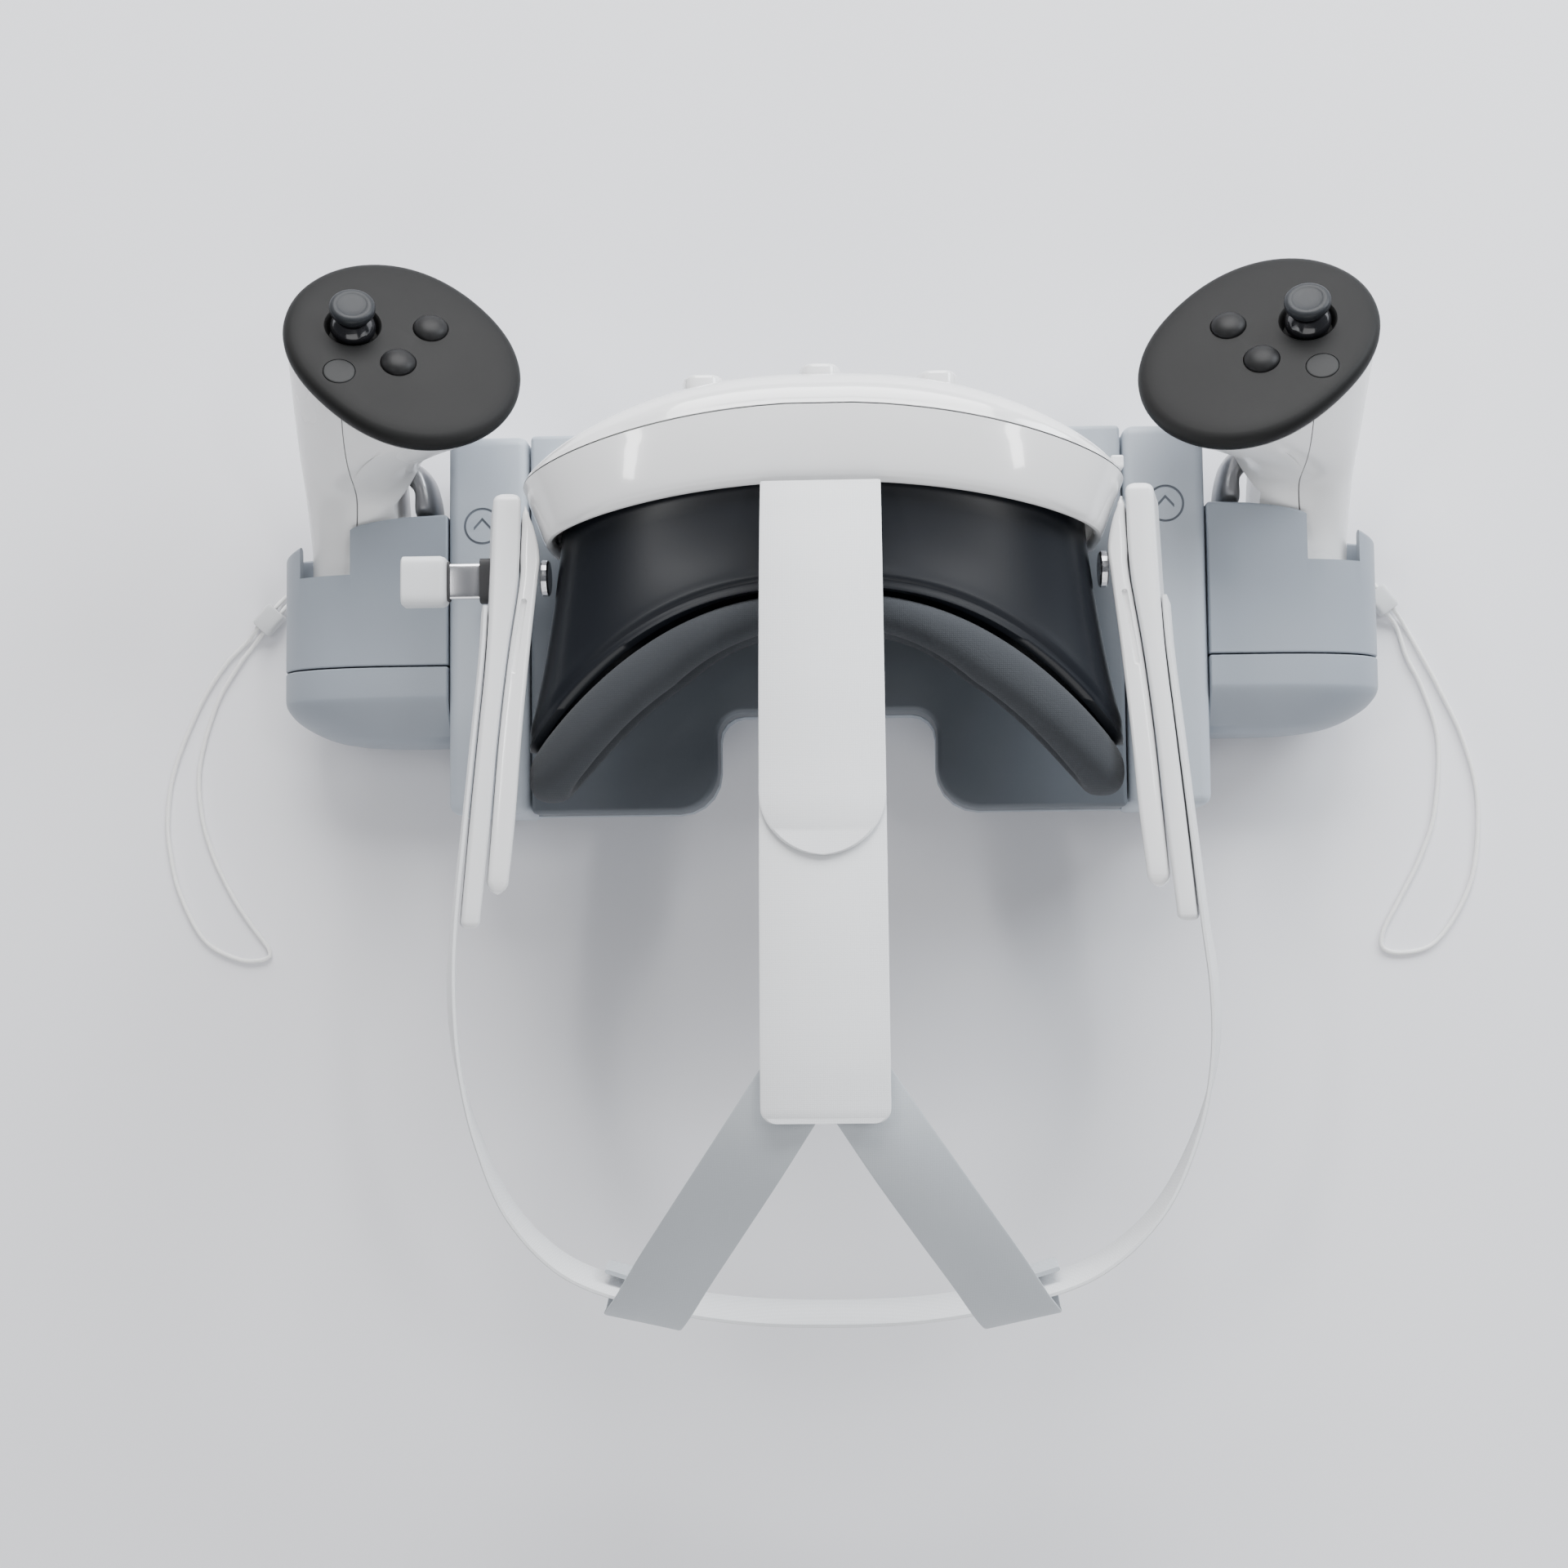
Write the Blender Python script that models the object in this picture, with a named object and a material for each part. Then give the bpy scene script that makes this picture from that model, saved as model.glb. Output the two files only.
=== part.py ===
"""VR headset resting on a charging dock, with its two hand controllers in the dock's pods.

Units are metres, +Z is up and +Y is the way the headset looks. The origin is on the table, under
the middle of the dock. Left is -X.
"""
import math

import bmesh
import bpy
from mathutils import Vector

MM = 0.001
GAP = 0.3 * MM

# Dock
DOCK_TOP = 46.0 * MM
DECK_UNDERSIDE = 20.0 * MM
DECK_SPLIT = 29.0 * MM
DECK_HALF_WIDTH = 97.5 * MM
DECK_REAR = -60.5 * MM
DECK_FRONT = 65.5 * MM
NOTCH_HALF_WIDTH = 36.0 * MM
NOTCH_TOP = -28.0 * MM
BLOCK_OUTER = 125.0 * MM
FOOT_HEIGHT = 2.0 * MM
POD_INNER = 125.3 * MM
POD_OUTER = 184.0 * MM
POD_SPLIT = -11.0 * MM
POD_MOUTH = 39.5 * MM
POD_WALL = 3.5 * MM

# Headset
VISOR_HALF_WIDTH = 91.5 * MM
VISOR_CENTRE_Z = 90.0 * MM
VISOR_HALF_HEIGHT = 43.4 * MM
VISOR_WALL = 2.5 * MM
LENS_X = 32.0 * MM
PAD_HALF_WIDTH = 84.0 * MM
WHEEL_CENTRE = (-17.5 * MM, 57.6 * MM, 57.6 * MM)
ARM_PIVOT = Vector((0.0, 10.0 * MM, 97.0 * MM))
ARM_TOP = 111.0 * MM
STRAP_LEAN = 0.2
STRAP_WIDTH = 35.0 * MM
BAND_THICKNESS = 1.6 * MM

# Controllers
FACE_TILT = math.radians(29.0)
FACE_LEAN = math.radians(10.0)
FACE_THICKNESS = 6.0 * MM
HANDLE_X = 157.0 * MM
HANDLE_Z = 24.0 * MM
SHELL_SEAM = (156.4 * MM, 35.0 * MM)
SEAM_SLANT = 0.19
CORD_RADIUS = 0.75 * MM
RING_POINTS = 28


def mm(*values):
    """A point given in millimetres."""
    return Vector([value * MM for value in values])


def clear_scene():
    for obj in list(bpy.data.objects):
        bpy.data.objects.remove(obj, do_unlink=True)


def material(name, color, roughness, metallic=0.0):
    mat = bpy.data.materials.new(name)
    mat.use_nodes = True
    shader = mat.node_tree.nodes["Principled BSDF"]
    shader.inputs["Base Color"].default_value = (*color, 1.0)
    shader.inputs["Roughness"].default_value = roughness
    shader.inputs["Metallic"].default_value = metallic
    mat.diffuse_color = (*color, 1.0)
    return mat


def make_materials():
    return {
        "dock_grey": material("dock_grey", (0.40, 0.44, 0.49), 0.45),
        "rubber": material("rubber", (0.05, 0.05, 0.055), 0.85),
        "board": material("board", (0.03, 0.16, 0.08), 0.55),
        "white_gloss": material("white_gloss", (0.86, 0.87, 0.88), 0.18),
        "white_satin": material("white_satin", (0.80, 0.81, 0.82), 0.38),
        "interface_black": material("interface_black", (0.02, 0.022, 0.027), 0.35),
        "cushion_grey": material("cushion_grey", (0.08, 0.09, 0.10), 0.9),
        "lens": material("lens", (0.10, 0.11, 0.13), 0.05),
        "battery": material("battery", (0.09, 0.09, 0.10), 0.5),
        "steel": material("steel", (0.72, 0.72, 0.73), 0.3, 1.0),
        "strap_white": material("strap_white", (0.78, 0.79, 0.80), 0.7),
        "face_grey": material("face_grey", (0.09, 0.09, 0.09), 0.5),
        "button_grey": material("button_grey", (0.10, 0.10, 0.105), 0.4),
        "stick_black": material("stick_black", (0.03, 0.03, 0.035), 0.2),
        "cord_white": material("cord_white", (0.82, 0.82, 0.80), 0.8),
    }


def add_object(name, bm, mat, origin=(0.0, 0.0, 0.0)):
    """Turns a bmesh in world coordinates into an object whose origin is at the given point."""
    bmesh.ops.remove_doubles(bm, verts=bm.verts, dist=1e-6)
    bmesh.ops.recalc_face_normals(bm, faces=bm.faces)
    bmesh.ops.translate(bm, verts=bm.verts, vec=-Vector(origin))
    mesh = bpy.data.meshes.new(name)
    bm.to_mesh(mesh)
    bm.free()
    mesh.materials.append(mat)
    mesh.shade_smooth()
    mesh.set_sharp_from_angle(angle=math.radians(35))
    obj = bpy.data.objects.new(name, mesh)
    obj.location = origin
    bpy.context.scene.collection.objects.link(obj)
    return obj


def loft(bm, rings, closed_loop=False):
    """Skins a row of rings with faces. The ends are capped unless the last ring meets the first."""
    rows = [[bm.verts.new(point) for point in ring] for ring in rings]
    count = len(rows[0])
    last = len(rows) if closed_loop else len(rows) - 1
    for i in range(last):
        low = rows[i]
        high = rows[(i + 1) % len(rows)]
        for k in range(count):
            bm.faces.new((low[k], low[(k + 1) % count], high[(k + 1) % count], high[k]))
    if not closed_loop:
        bm.faces.new(rows[0][::-1])
        bm.faces.new(rows[-1])
    return bm


def lofted(rings, closed_loop=False):
    return loft(bmesh.new(), rings, closed_loop)


def superellipse(half_a, half_b, power, count=RING_POINTS):
    """Points of a rounded outline in its own plane, as pairs."""
    points = []
    for k in range(count):
        angle = 2.0 * math.pi * (k + 0.5) / count
        c = math.cos(angle)
        s = math.sin(angle)
        a = half_a * math.copysign(abs(c) ** (2.0 / power), c)
        b = half_b * math.copysign(abs(s) ** (2.0 / power), s)
        points.append((a, b))
    return points


def box(low, high, bevel=0.0, segments=2):
    """A box between two corners, with its edges rounded."""
    bm = bmesh.new()
    low = Vector(low)
    high = Vector(high)
    bmesh.ops.create_cube(bm, size=1.0)
    for vert in bm.verts:
        vert.co = Vector([low[i] + (vert.co[i] + 0.5) * (high[i] - low[i]) for i in range(3)])
    if bevel > 0.0:
        bmesh.ops.bevel(bm, geom=bm.edges[:], offset=bevel, segments=segments, profile=0.5,
                        affect="EDGES", clamp_overlap=True)
    return bm


def frame_from(normal):
    """Two directions across a normal."""
    normal = Vector(normal).normalized()
    side = normal.cross(Vector((1.0, 0.0, 0.0)))
    if side.length < 0.1:
        side = normal.cross(Vector((0.0, 0.0, 1.0)))
    side.normalize()
    return side, normal.cross(side).normalized()


def turned(profile, centre, axis, segments=16):
    """A solid of revolution. The profile lists radius and height along the axis, in metres."""
    side, up = frame_from(axis)
    along = Vector(axis).normalized()
    rings = []
    for radius, height in profile:
        ring = []
        for k in range(segments):
            angle = 2.0 * math.pi * k / segments
            spoke = side * math.cos(angle) + up * math.sin(angle)
            ring.append(Vector(centre) + along * height + spoke * radius)
        rings.append(ring)
    return lofted(rings)


def prism(outline, low_z, high_z):
    """A flat outline in X and Y pushed up between two heights."""
    rings = [[Vector((x, y, z)) for x, y in outline] for z in (low_z, high_z)]
    return lofted(rings)


def arc(centre, radius, start_deg, end_deg, steps):
    points = []
    for k in range(steps + 1):
        angle = math.radians(start_deg + (end_deg - start_deg) * k / steps)
        points.append((centre[0] + radius * math.cos(angle), centre[1] + radius * math.sin(angle)))
    return points


def smooth_path(points, count):
    """A Catmull-Rom curve through hand-chosen points, read at even steps of its length."""
    points = [Vector(point) for point in points]
    padded = [points[0] * 2 - points[1]] + points + [points[-1] * 2 - points[-2]]
    fine = []
    for i in range(1, len(padded) - 2):
        p0, p1, p2, p3 = padded[i - 1:i + 3]
        for k in range(24):
            t = k / 24.0
            fine.append(0.5 * (2 * p1 + (p2 - p0) * t + (2 * p0 - 5 * p1 + 4 * p2 - p3) * t * t
                               + (3 * p1 - p0 - 3 * p2 + p3) * t ** 3))
    fine.append(points[-1])
    lengths = [0.0]
    for a, b in zip(fine, fine[1:]):
        lengths.append(lengths[-1] + (b - a).length)
    result = []
    j = 0
    for k in range(count):
        target = lengths[-1] * k / (count - 1)
        while j < len(fine) - 2 and lengths[j + 1] < target:
            j += 1
        span = lengths[j + 1] - lengths[j]
        result.append(fine[j].lerp(fine[j + 1], (target - lengths[j]) / span))
    return result


def ribbon(edge_a, edge_b, thickness):
    """A strap between two edge lines, with its thickness set evenly on both sides."""
    rings = []
    count = len(edge_a)
    for i in range(count):
        before = max(i - 1, 0)
        after = min(i + 1, count - 1)
        along = (edge_a[after] + edge_b[after]) - (edge_a[before] + edge_b[before])
        offset = along.cross(edge_b[i] - edge_a[i]).normalized() * (thickness / 2)
        rings.append([edge_a[i] + offset, edge_b[i] + offset, edge_b[i] - offset, edge_a[i] - offset])
    return lofted(rings)


def cut(target, cutter_bm, name, operation="DIFFERENCE"):
    """Takes a cutter's shape out of an object."""
    mesh = bpy.data.meshes.new(name)
    bmesh.ops.recalc_face_normals(cutter_bm, faces=cutter_bm.faces)
    cutter_bm.to_mesh(mesh)
    cutter_bm.free()
    cutter = bpy.data.objects.new(name, mesh)
    cutter.hide_render = True
    cutter.display_type = "WIRE"
    bpy.context.scene.collection.objects.link(cutter)
    boolean = target.modifiers.new("cut_" + name, "BOOLEAN")
    boolean.operation = operation
    boolean.solver = "EXACT"
    boolean.object = cutter


def join(target, extra_bm, name):
    """Adds a shape to an object."""
    cut(target, extra_bm, name, "UNION")


def merged(parts):
    """One bmesh holding several closed shapes, for a cutter."""
    whole = bmesh.new()
    for part in parts:
        mesh = bpy.data.meshes.new("scratch")
        part.to_mesh(mesh)
        part.free()
        whole.from_mesh(mesh)
        bpy.data.meshes.remove(mesh)
    return whole


# ---------------------------------------------------------------- dock

def deck_outline(inset=0.0):
    """The deck seen from above: a rectangle with a nose-shaped notch in its rear edge."""
    half = DECK_HALF_WIDTH - inset
    front = DECK_FRONT - inset
    rear = DECK_REAR + inset
    neck = NOTCH_HALF_WIDTH + inset
    top = NOTCH_TOP + inset
    shoulder = 8.0 * MM + inset
    flare = 14.0 * MM - inset
    right = [(-half, front), (-half, rear)]
    flare_centre = (-neck - flare, rear + flare)
    right += arc(flare_centre, flare, -90, 0, 5)
    shoulder_centre = (-neck + shoulder, top - shoulder)
    right += arc(shoulder_centre, shoulder, 180, 90, 4)
    mirrored = [(-x, y) for x, y in reversed(right)]
    return right + mirrored


def make_deck(mats):
    deck = add_object("dock_deck", prism(deck_outline(), DECK_SPLIT + GAP, DOCK_TOP), mats["dock_grey"])
    wall = 3.0 * MM
    low_z = DECK_SPLIT - wall
    high_z = DOCK_TOP - wall
    half = DECK_HALF_WIDTH - wall
    neck = NOTCH_HALF_WIDTH + wall + 14.0 * MM
    cut(deck, box((-half, NOTCH_TOP + wall, low_z), (half, DECK_FRONT - wall, high_z)), "deck_room_cutter")
    side_rooms = merged([
        box((neck if sign > 0 else -half, DECK_REAR + wall, low_z),
            (half if sign > 0 else -neck, NOTCH_TOP + 2 * wall, high_z))
        for sign in (-1, 1)
    ])
    cut(deck, side_rooms, "deck_side_room_cutter")
    lower = prism(deck_outline(), DECK_UNDERSIDE, DECK_SPLIT)
    underside = add_object("dock_underside", lower, mats["dock_grey"])
    pedestal = box(mm(-40, -22, 0), mm(40, 22, 24))
    join(underside, pedestal, "pedestal_form")
    board = box(mm(-70, -18, 31.0), mm(70, 40, 32.6))
    add_object("dock_board", board, mats["board"])


def make_block(side, label, mats):
    """A block at the side of the deck, hollow and open below, on its own rubber foot."""
    inner = DECK_HALF_WIDTH + 0.8 * MM
    low = (min(side * inner, side * BLOCK_OUTER), DECK_REAR, FOOT_HEIGHT + GAP)
    high = (max(side * inner, side * BLOCK_OUTER), DECK_FRONT, DOCK_TOP)
    block = add_object("dock_block_" + label, box(low, high, 3.5 * MM, 3), mats["dock_grey"])
    wall = 3.0 * MM
    room = box((low[0] + wall, low[1] + wall, -wall), (high[0] - wall, high[1] - wall, high[2] - wall))
    cut(block, room, "block_room_cutter_" + label)
    foot = box((low[0] + 5 * MM, low[1] + 6 * MM, 0.0), (high[0] - 5 * MM, high[1] - 6 * MM, FOOT_HEIGHT))
    add_object("dock_foot_" + label, box_with_lip(foot), mats["rubber"])


def box_with_lip(bm):
    """Softens a rubber foot's edges a little."""
    bmesh.ops.bevel(bm, geom=bm.edges[:], offset=0.5 * MM, segments=1, affect="EDGES")
    return bm


def pod_section(side, y_of_x, inset=0.0, outer=POD_OUTER, low=FOOT_HEIGHT, top=DOCK_TOP, inner_inset=None):
    """One outline of a pod in X and Z: flat beside the block and fully rounded on the outer side."""
    x_in = POD_INNER + (inset if inner_inset is None else inner_inset)
    x_out = outer - inset
    middle = POD_INNER + 14.0 * MM
    z_mid = (top + low) / 2
    half_height = (top - low) / 2 - inset
    points = [(x_in, z_mid - half_height), (middle, z_mid - half_height)]
    steps = 12
    for k in range(1, steps):
        angle = math.radians(-90 + 180 * k / steps)
        c = abs(math.cos(angle)) ** (2 / 2.4)
        s = math.copysign(abs(math.sin(angle)) ** (2 / 2.4), math.sin(angle))
        points.append((middle + (x_out - middle) * c, z_mid + half_height * s))
    points += [(middle, z_mid + half_height), (x_in, z_mid + half_height)]
    return [Vector((side * x, y_of_x(x), z)) for x, z in points]


def mouth_y(x):
    """The pod's mouth curves back towards its outer side."""
    reach = max(x - 127.0 * MM, 0.0) / (57.0 * MM)
    return POD_MOUTH - 11.5 * MM * reach ** 2


def make_pod(side, label, mats):
    """The pod's sleeve, which takes a controller's handle, and the cap that closes its rear."""
    lip = 1.2 * MM

    def at_split(x):
        return POD_SPLIT + GAP

    def at_mouth(x):
        return mouth_y(x)

    def inside_lip(x):
        return mouth_y(x) - lip

    rings = [
        pod_section(side, at_split),
        pod_section(side, inside_lip),
        pod_section(side, at_mouth, lip * 0.6),
        pod_section(side, at_mouth, POD_WALL - lip * 0.4),
        pod_section(side, inside_lip, POD_WALL),
        pod_section(side, at_split, POD_WALL),
    ]
    add_object("pod_" + label, lofted(rings, closed_loop=True), mats["dock_grey"])
    add_object("pod_cap_" + label, pod_cap(side), mats["dock_grey"])


def pod_cap(side):
    """The closed rear end of a pod. It narrows from its outer side and slopes down to the rear."""

    def plane(y):
        return lambda x: y * MM

    outside = []
    for y, outer, low, top in ((-11.3, 184.0, 2.0, 46.0), (-20.0, 184.0, 2.0, 46.0),
                               (-23.5, 182.4, 3.0, 45.0), (-29.5, 176.0, 6.0, 41.5),
                               (-34.5, 167.0, 9.0, 37.5), (-38.0, 158.0, 12.0, 33.0)):
        outside.append(pod_section(side, plane(y), 0.0, outer * MM, low * MM, top * MM))
    inside = []
    for y, outer, low, top in ((-34.5, 155.0, 15.0, 32.0), (-29.0, 170.0, 9.5, 38.0),
                               (-20.0, 180.5, 5.5, 42.5), (-11.3, 180.5, 5.5, 42.5)):
        inside.append(pod_section(side, plane(y), 0.0, outer * MM, low * MM, top * MM, POD_WALL))
    return bowl(outside, inside)


def bowl(outside, inside, strips=False):
    """A cup: outside rings from rim to closed end, then inside rings from closed end to rim.

    With strips, the closed end is filled with upright strips, so that it can curve from side to side.
    """
    bm = bmesh.new()
    rows = [[bm.verts.new(point) for point in ring] for ring in outside + inside]
    count = len(rows[0])
    turn = len(outside) - 1
    for i in range(len(rows)):
        if i == turn:
            continue
        low = rows[i]
        high = rows[(i + 1) % len(rows)]
        for k in range(count):
            bm.faces.new((low[k], low[(k + 1) % count], high[(k + 1) % count], high[k]))
    for row in (rows[turn], rows[turn + 1]):
        if not strips:
            bm.faces.new(row)
            continue
        for k in range(count // 2 - 1):
            bm.faces.new((row[k], row[k + 1], row[count - 2 - k], row[count - 1 - k]))
    return bm


# ---------------------------------------------------------------- headset

def rear_edge_y(x):
    return 31.0 * MM - 1.85 * x * x


def seam_y(x):
    return 53.3 * MM - 2.15 * x * x


def front_y(x):
    reach = min(abs(x) / VISOR_HALF_WIDTH, 1.0)
    return 66.4 * MM - 27.6 * MM * reach ** 2.4


def visor_ring(half_width, half_height, y_of_x, power=3.6):
    """One outline of the visor in X and Z, with its depth curved to suit the face."""
    outline = superellipse(half_width, half_height, power)
    return [Vector((x, y_of_x(x), VISOR_CENTRE_Z + z)) for x, z in outline]


def blend_y(share):
    """A curve part of the way from the visor's seam to its front."""
    return lambda x: seam_y(x) + (front_y(x) - seam_y(x)) * share


def shell_y(share):
    """A curve part of the way from the visor's rear edge to its seam."""
    return lambda x: rear_edge_y(x) + (seam_y(x) - rear_edge_y(x)) * share


def make_visor(mats):
    wide = VISOR_HALF_WIDTH
    high = VISOR_HALF_HEIGHT
    wall = VISOR_WALL
    outside = [
        visor_ring(84.8 * MM, high - 3.0 * MM, shell_y(0.0)),
        visor_ring(85.6 * MM, high - 1.6 * MM, shell_y(0.12)),
        visor_ring(87.6 * MM, high - 0.6 * MM, shell_y(0.42)),
        visor_ring(89.8 * MM, high - 0.1 * MM, shell_y(0.74)),
        visor_ring(wide, high, shell_y(0.98)),
    ]
    inside = [
        visor_ring(wide - wall, high - wall, shell_y(0.98)),
        visor_ring(87.6 * MM - wall, high - 0.6 * MM - wall, shell_y(0.42)),
        visor_ring(84.8 * MM - wall, high - 3.0 * MM - wall, shell_y(0.0)),
    ]
    add_object("visor_shell", lofted(outside + inside, closed_loop=True), mats["white_gloss"])
    outside = [
        visor_ring(wide, high, lambda x: seam_y(x) + GAP),
        visor_ring(wide - 1.2 * MM, high - 1.6 * MM, blend_y(0.35)),
        visor_ring(wide - 5.0 * MM, high - 6.0 * MM, blend_y(0.72)),
        visor_ring(wide - 14.0 * MM, high - 14.0 * MM, blend_y(0.95)),
        visor_ring(wide - 30.0 * MM, high - 26.0 * MM, blend_y(1.0)),
    ]
    inside = [
        visor_ring(wide - 31.0 * MM, high - 27.0 * MM, lambda x: blend_y(1.0)(x) - 3.0 * MM),
        visor_ring(wide - 16.0 * MM, high - 16.0 * MM, lambda x: blend_y(0.9)(x) - 2.0 * MM),
        visor_ring(wide - 6.0 * MM, high - 7.5 * MM, blend_y(0.40)),
        visor_ring(wide - wall, high - wall, lambda x: seam_y(x) + GAP),
    ]
    cover = add_object("front_cover", bowl(outside, inside, True), mats["white_gloss"])
    wheel_slot = turned([(6.6 * MM, -4.5 * MM), (6.6 * MM, 4.5 * MM)], WHEEL_CENTRE, (1, 0, 0), 24)
    button_slot = box(mm(80, 40.0, 79.0), mm(100, 44.6, 97.0))
    cut(cover, merged([wheel_slot, button_slot]), "cover_slot_cutter")


def pill(x, back, front, grow=0.0, rounding=1.2 * MM):
    """An upright rounded pill, lying along Y between two depths."""
    rings = []
    for inset, y in ((0.0, back), (0.0, front - rounding), (rounding, front)):
        outline = superellipse(7.0 * MM + grow - inset, 29.0 * MM + grow - inset, 4.0, 20)
        rings.append([Vector((x + px, y, 91.0 * MM + pz)) for px, pz in outline])
    return lofted(rings)


def make_camera_pods(mats):
    """Three upright pods that stand a little proud of the visor's front."""
    cover = bpy.data.objects["front_cover"]
    for label, x in (("left", -35.0 * MM), ("centre", 0.0), ("right", 35.0 * MM)):
        front = front_y(x) + 2.2 * MM
        back = front_y(abs(x) + 7.0 * MM) - 2.6 * MM
        add_object("camera_pod_" + label, pill(x, back, front), mats["white_gloss"])
        cut(cover, pill(x, back - 12 * MM, front + 12 * MM, GAP, GAP), "pod_hole_cutter_" + label)


def make_inside_parts(mats):
    """The parts that the visor holds: the optics frame, the main board and the battery."""
    outline = superellipse(76.0 * MM, 36.0 * MM, 3.0, 24)
    rings = [[Vector((x, y, VISOR_CENTRE_Z + z)) for x, z in outline] for y in (34.0 * MM, 36.5 * MM)]
    frame = add_object("optics_frame", lofted(rings), mats["interface_black"])
    holes = [turned([(19 * MM, -10 * MM), (19 * MM, 10 * MM)], (side * LENS_X, 35 * MM, 92 * MM), (0, 1, 0))
             for side in (-1, 1)]
    cut(frame, merged(holes), "eye_hole_cutter")
    add_object("main_board", box(mm(-56, 38.5, 64), mm(56, 40.1, 116)), mats["board"])
    add_object("battery_pack", box(mm(-27, 42, 72), mm(27, 50, 112), 1.5 * MM, 2), mats["battery"])


def make_lens(side, label, mats):
    """A lens in its barrel, which slides sideways with the spacing wheel."""
    profile = [(24.0, 33.4), (24.0, 21.0), (22.5, 20.0), (20.5, 20.4), (14.0, 18.6), (6.0, 17.9)]
    centre = Vector((side * LENS_X, 0.0, 92.0 * MM))
    bm = turned([(r * MM, y * MM) for r, y in profile], centre, (0, 1, 0), 24)
    add_object("lens_" + label, bm, mats["lens"], centre + mm(0, 25, 0))


def pad_point(angle):
    """A point on the middle line of the face cushion: a wide ring with an arch over the nose."""
    x = PAD_HALF_WIDTH * math.copysign(abs(math.cos(angle)) ** 0.8, math.cos(angle))
    z = 29.5 * MM * math.copysign(abs(math.sin(angle)) ** 0.8, math.sin(angle))
    y = -4.3 * MM - 45.0 * MM * (abs(x) / PAD_HALF_WIDTH) ** 2.3
    if z < 0:
        nose = math.exp(-(x / (17.0 * MM)) ** 2)
        z += 17.0 * MM * nose
        y += 7.0 * MM * abs(z) / (29.5 * MM)
    return Vector((x, y, VISOR_CENTRE_Z + 0.5 * MM + z))


def pad_ring_points(count=40):
    return [pad_point(2.0 * math.pi * (k + 0.5) / count) for k in range(count)]


def make_cushion(mats):
    """The soft ring that rests against the face, as one closed tube."""
    path = pad_ring_points()
    count = len(path)
    rings = []
    sides = 10
    for i in range(count):
        along = (path[(i + 1) % count] - path[i - 1]).normalized()
        back = (Vector((0, -1, 0)) - along * along.dot(Vector((0, -1, 0)))).normalized()
        across = along.cross(back)
        depth = 5.6 * MM + 2.4 * MM * min(1.0, (path[i].x / (50.0 * MM)) ** 2)
        centre = path[i] - Vector((0.0, 1.0, 0.0)) * MM + back * (depth - 5.6 * MM)
        ring = []
        for k in range(sides):
            angle = 2.0 * math.pi * (k + 0.5) / sides
            ring.append(centre + back * (depth * math.cos(angle)) + across * (7.5 * MM * math.sin(angle)))
        rings.append(ring)
    add_object("face_cushion", lofted(rings, closed_loop=True), mats["cushion_grey"], mm(0, -10, 90))


def interface_ring(half_width, half_height, depth, count):
    """An outline of the funnel where it sits inside the visor."""
    ring = []
    for x, z in superellipse(half_width, half_height, 3.2, count):
        y = min(rear_edge_y(x) + depth, 33.2 * MM)
        ring.append(Vector((x, y, VISOR_CENTRE_Z + z)))
    return ring


def pad_edge(outward, forward, count):
    """An outline that follows the cushion, moved outwards and forwards."""
    ring = []
    for point in pad_ring_points(count):
        away = Vector((point.x, 0.0, point.z - VISOR_CENTRE_Z)).normalized()
        ring.append(point + away * outward * MM + Vector((0.0, forward * MM, 0.0)))
    return ring


def between(ring_a, ring_b, share):
    return [a.lerp(b, share) for a, b in zip(ring_a, ring_b)]


def make_interface(mats):
    """The dark funnel between the visor and the face cushion."""
    count = 40
    front = interface_ring(79.6 * MM, 36.6 * MM, 9.0 * MM, count)
    waist = interface_ring(80.4 * MM, 36.4 * MM, -2.0 * MM, count)
    rear = pad_edge(6.2, 8.0, count)
    rim = pad_edge(6.4, 5.8, count)
    front_inside = interface_ring(77.8 * MM, 34.8 * MM, 9.0 * MM, count)
    waist_inside = interface_ring(78.6 * MM, 34.6 * MM, -2.0 * MM, count)
    rear_inside = pad_edge(3.4, 8.4, count)
    rim_inside = pad_edge(3.4, 5.8, count)
    rings = [front, waist, between(waist, rear, 0.5), rear, rim, rim_inside, rear_inside,
             between(waist_inside, rear_inside, 0.5), waist_inside, front_inside]
    add_object("facial_interface", lofted(rings, closed_loop=True), mats["interface_black"], mm(0, 10, 90))


def make_small_controls(mats):
    wheel = turned([(5.2 * MM, -4 * MM), (6.0 * MM, -3.2 * MM), (6.0 * MM, 3.2 * MM), (5.2 * MM, 4 * MM)],
                   WHEEL_CENTRE, (1, 0, 0), 20)
    add_object("ipd_wheel", wheel, mats["interface_black"], WHEEL_CENTRE)
    button = box(mm(88.4, 40.3, 79.3), mm(92.3, 44.3, 96.7), 0.6 * MM, 2)
    add_object("power_button", button, mats["white_satin"], mm(90, 42.3, 88))


# ---------------------------------------------------------------- head strap

def arm_section(side, y, outer, inner, low, high):
    """One cross-section of a side arm. Its lower edge leans outwards."""
    corner = min(1.6 * MM, 0.4 * (outer - inner))
    points = []
    corners = ((inner, high, 1, -1), (outer, high, -1, -1), (outer, low, -1, 1), (inner, low, 1, 1))
    for x, z, dx, dz in corners:
        first = (x, z + dz * corner)
        second = (x + dx * corner, z)
        pair = [first, second] if (dx, dz) in ((1, -1), (-1, 1)) else [second, first]
        points += pair
    section = []
    for x, z in points:
        lean = STRAP_LEAN * (ARM_TOP - z)
        section.append(Vector((side * (x + lean), y * MM, z)))
    return section


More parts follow.
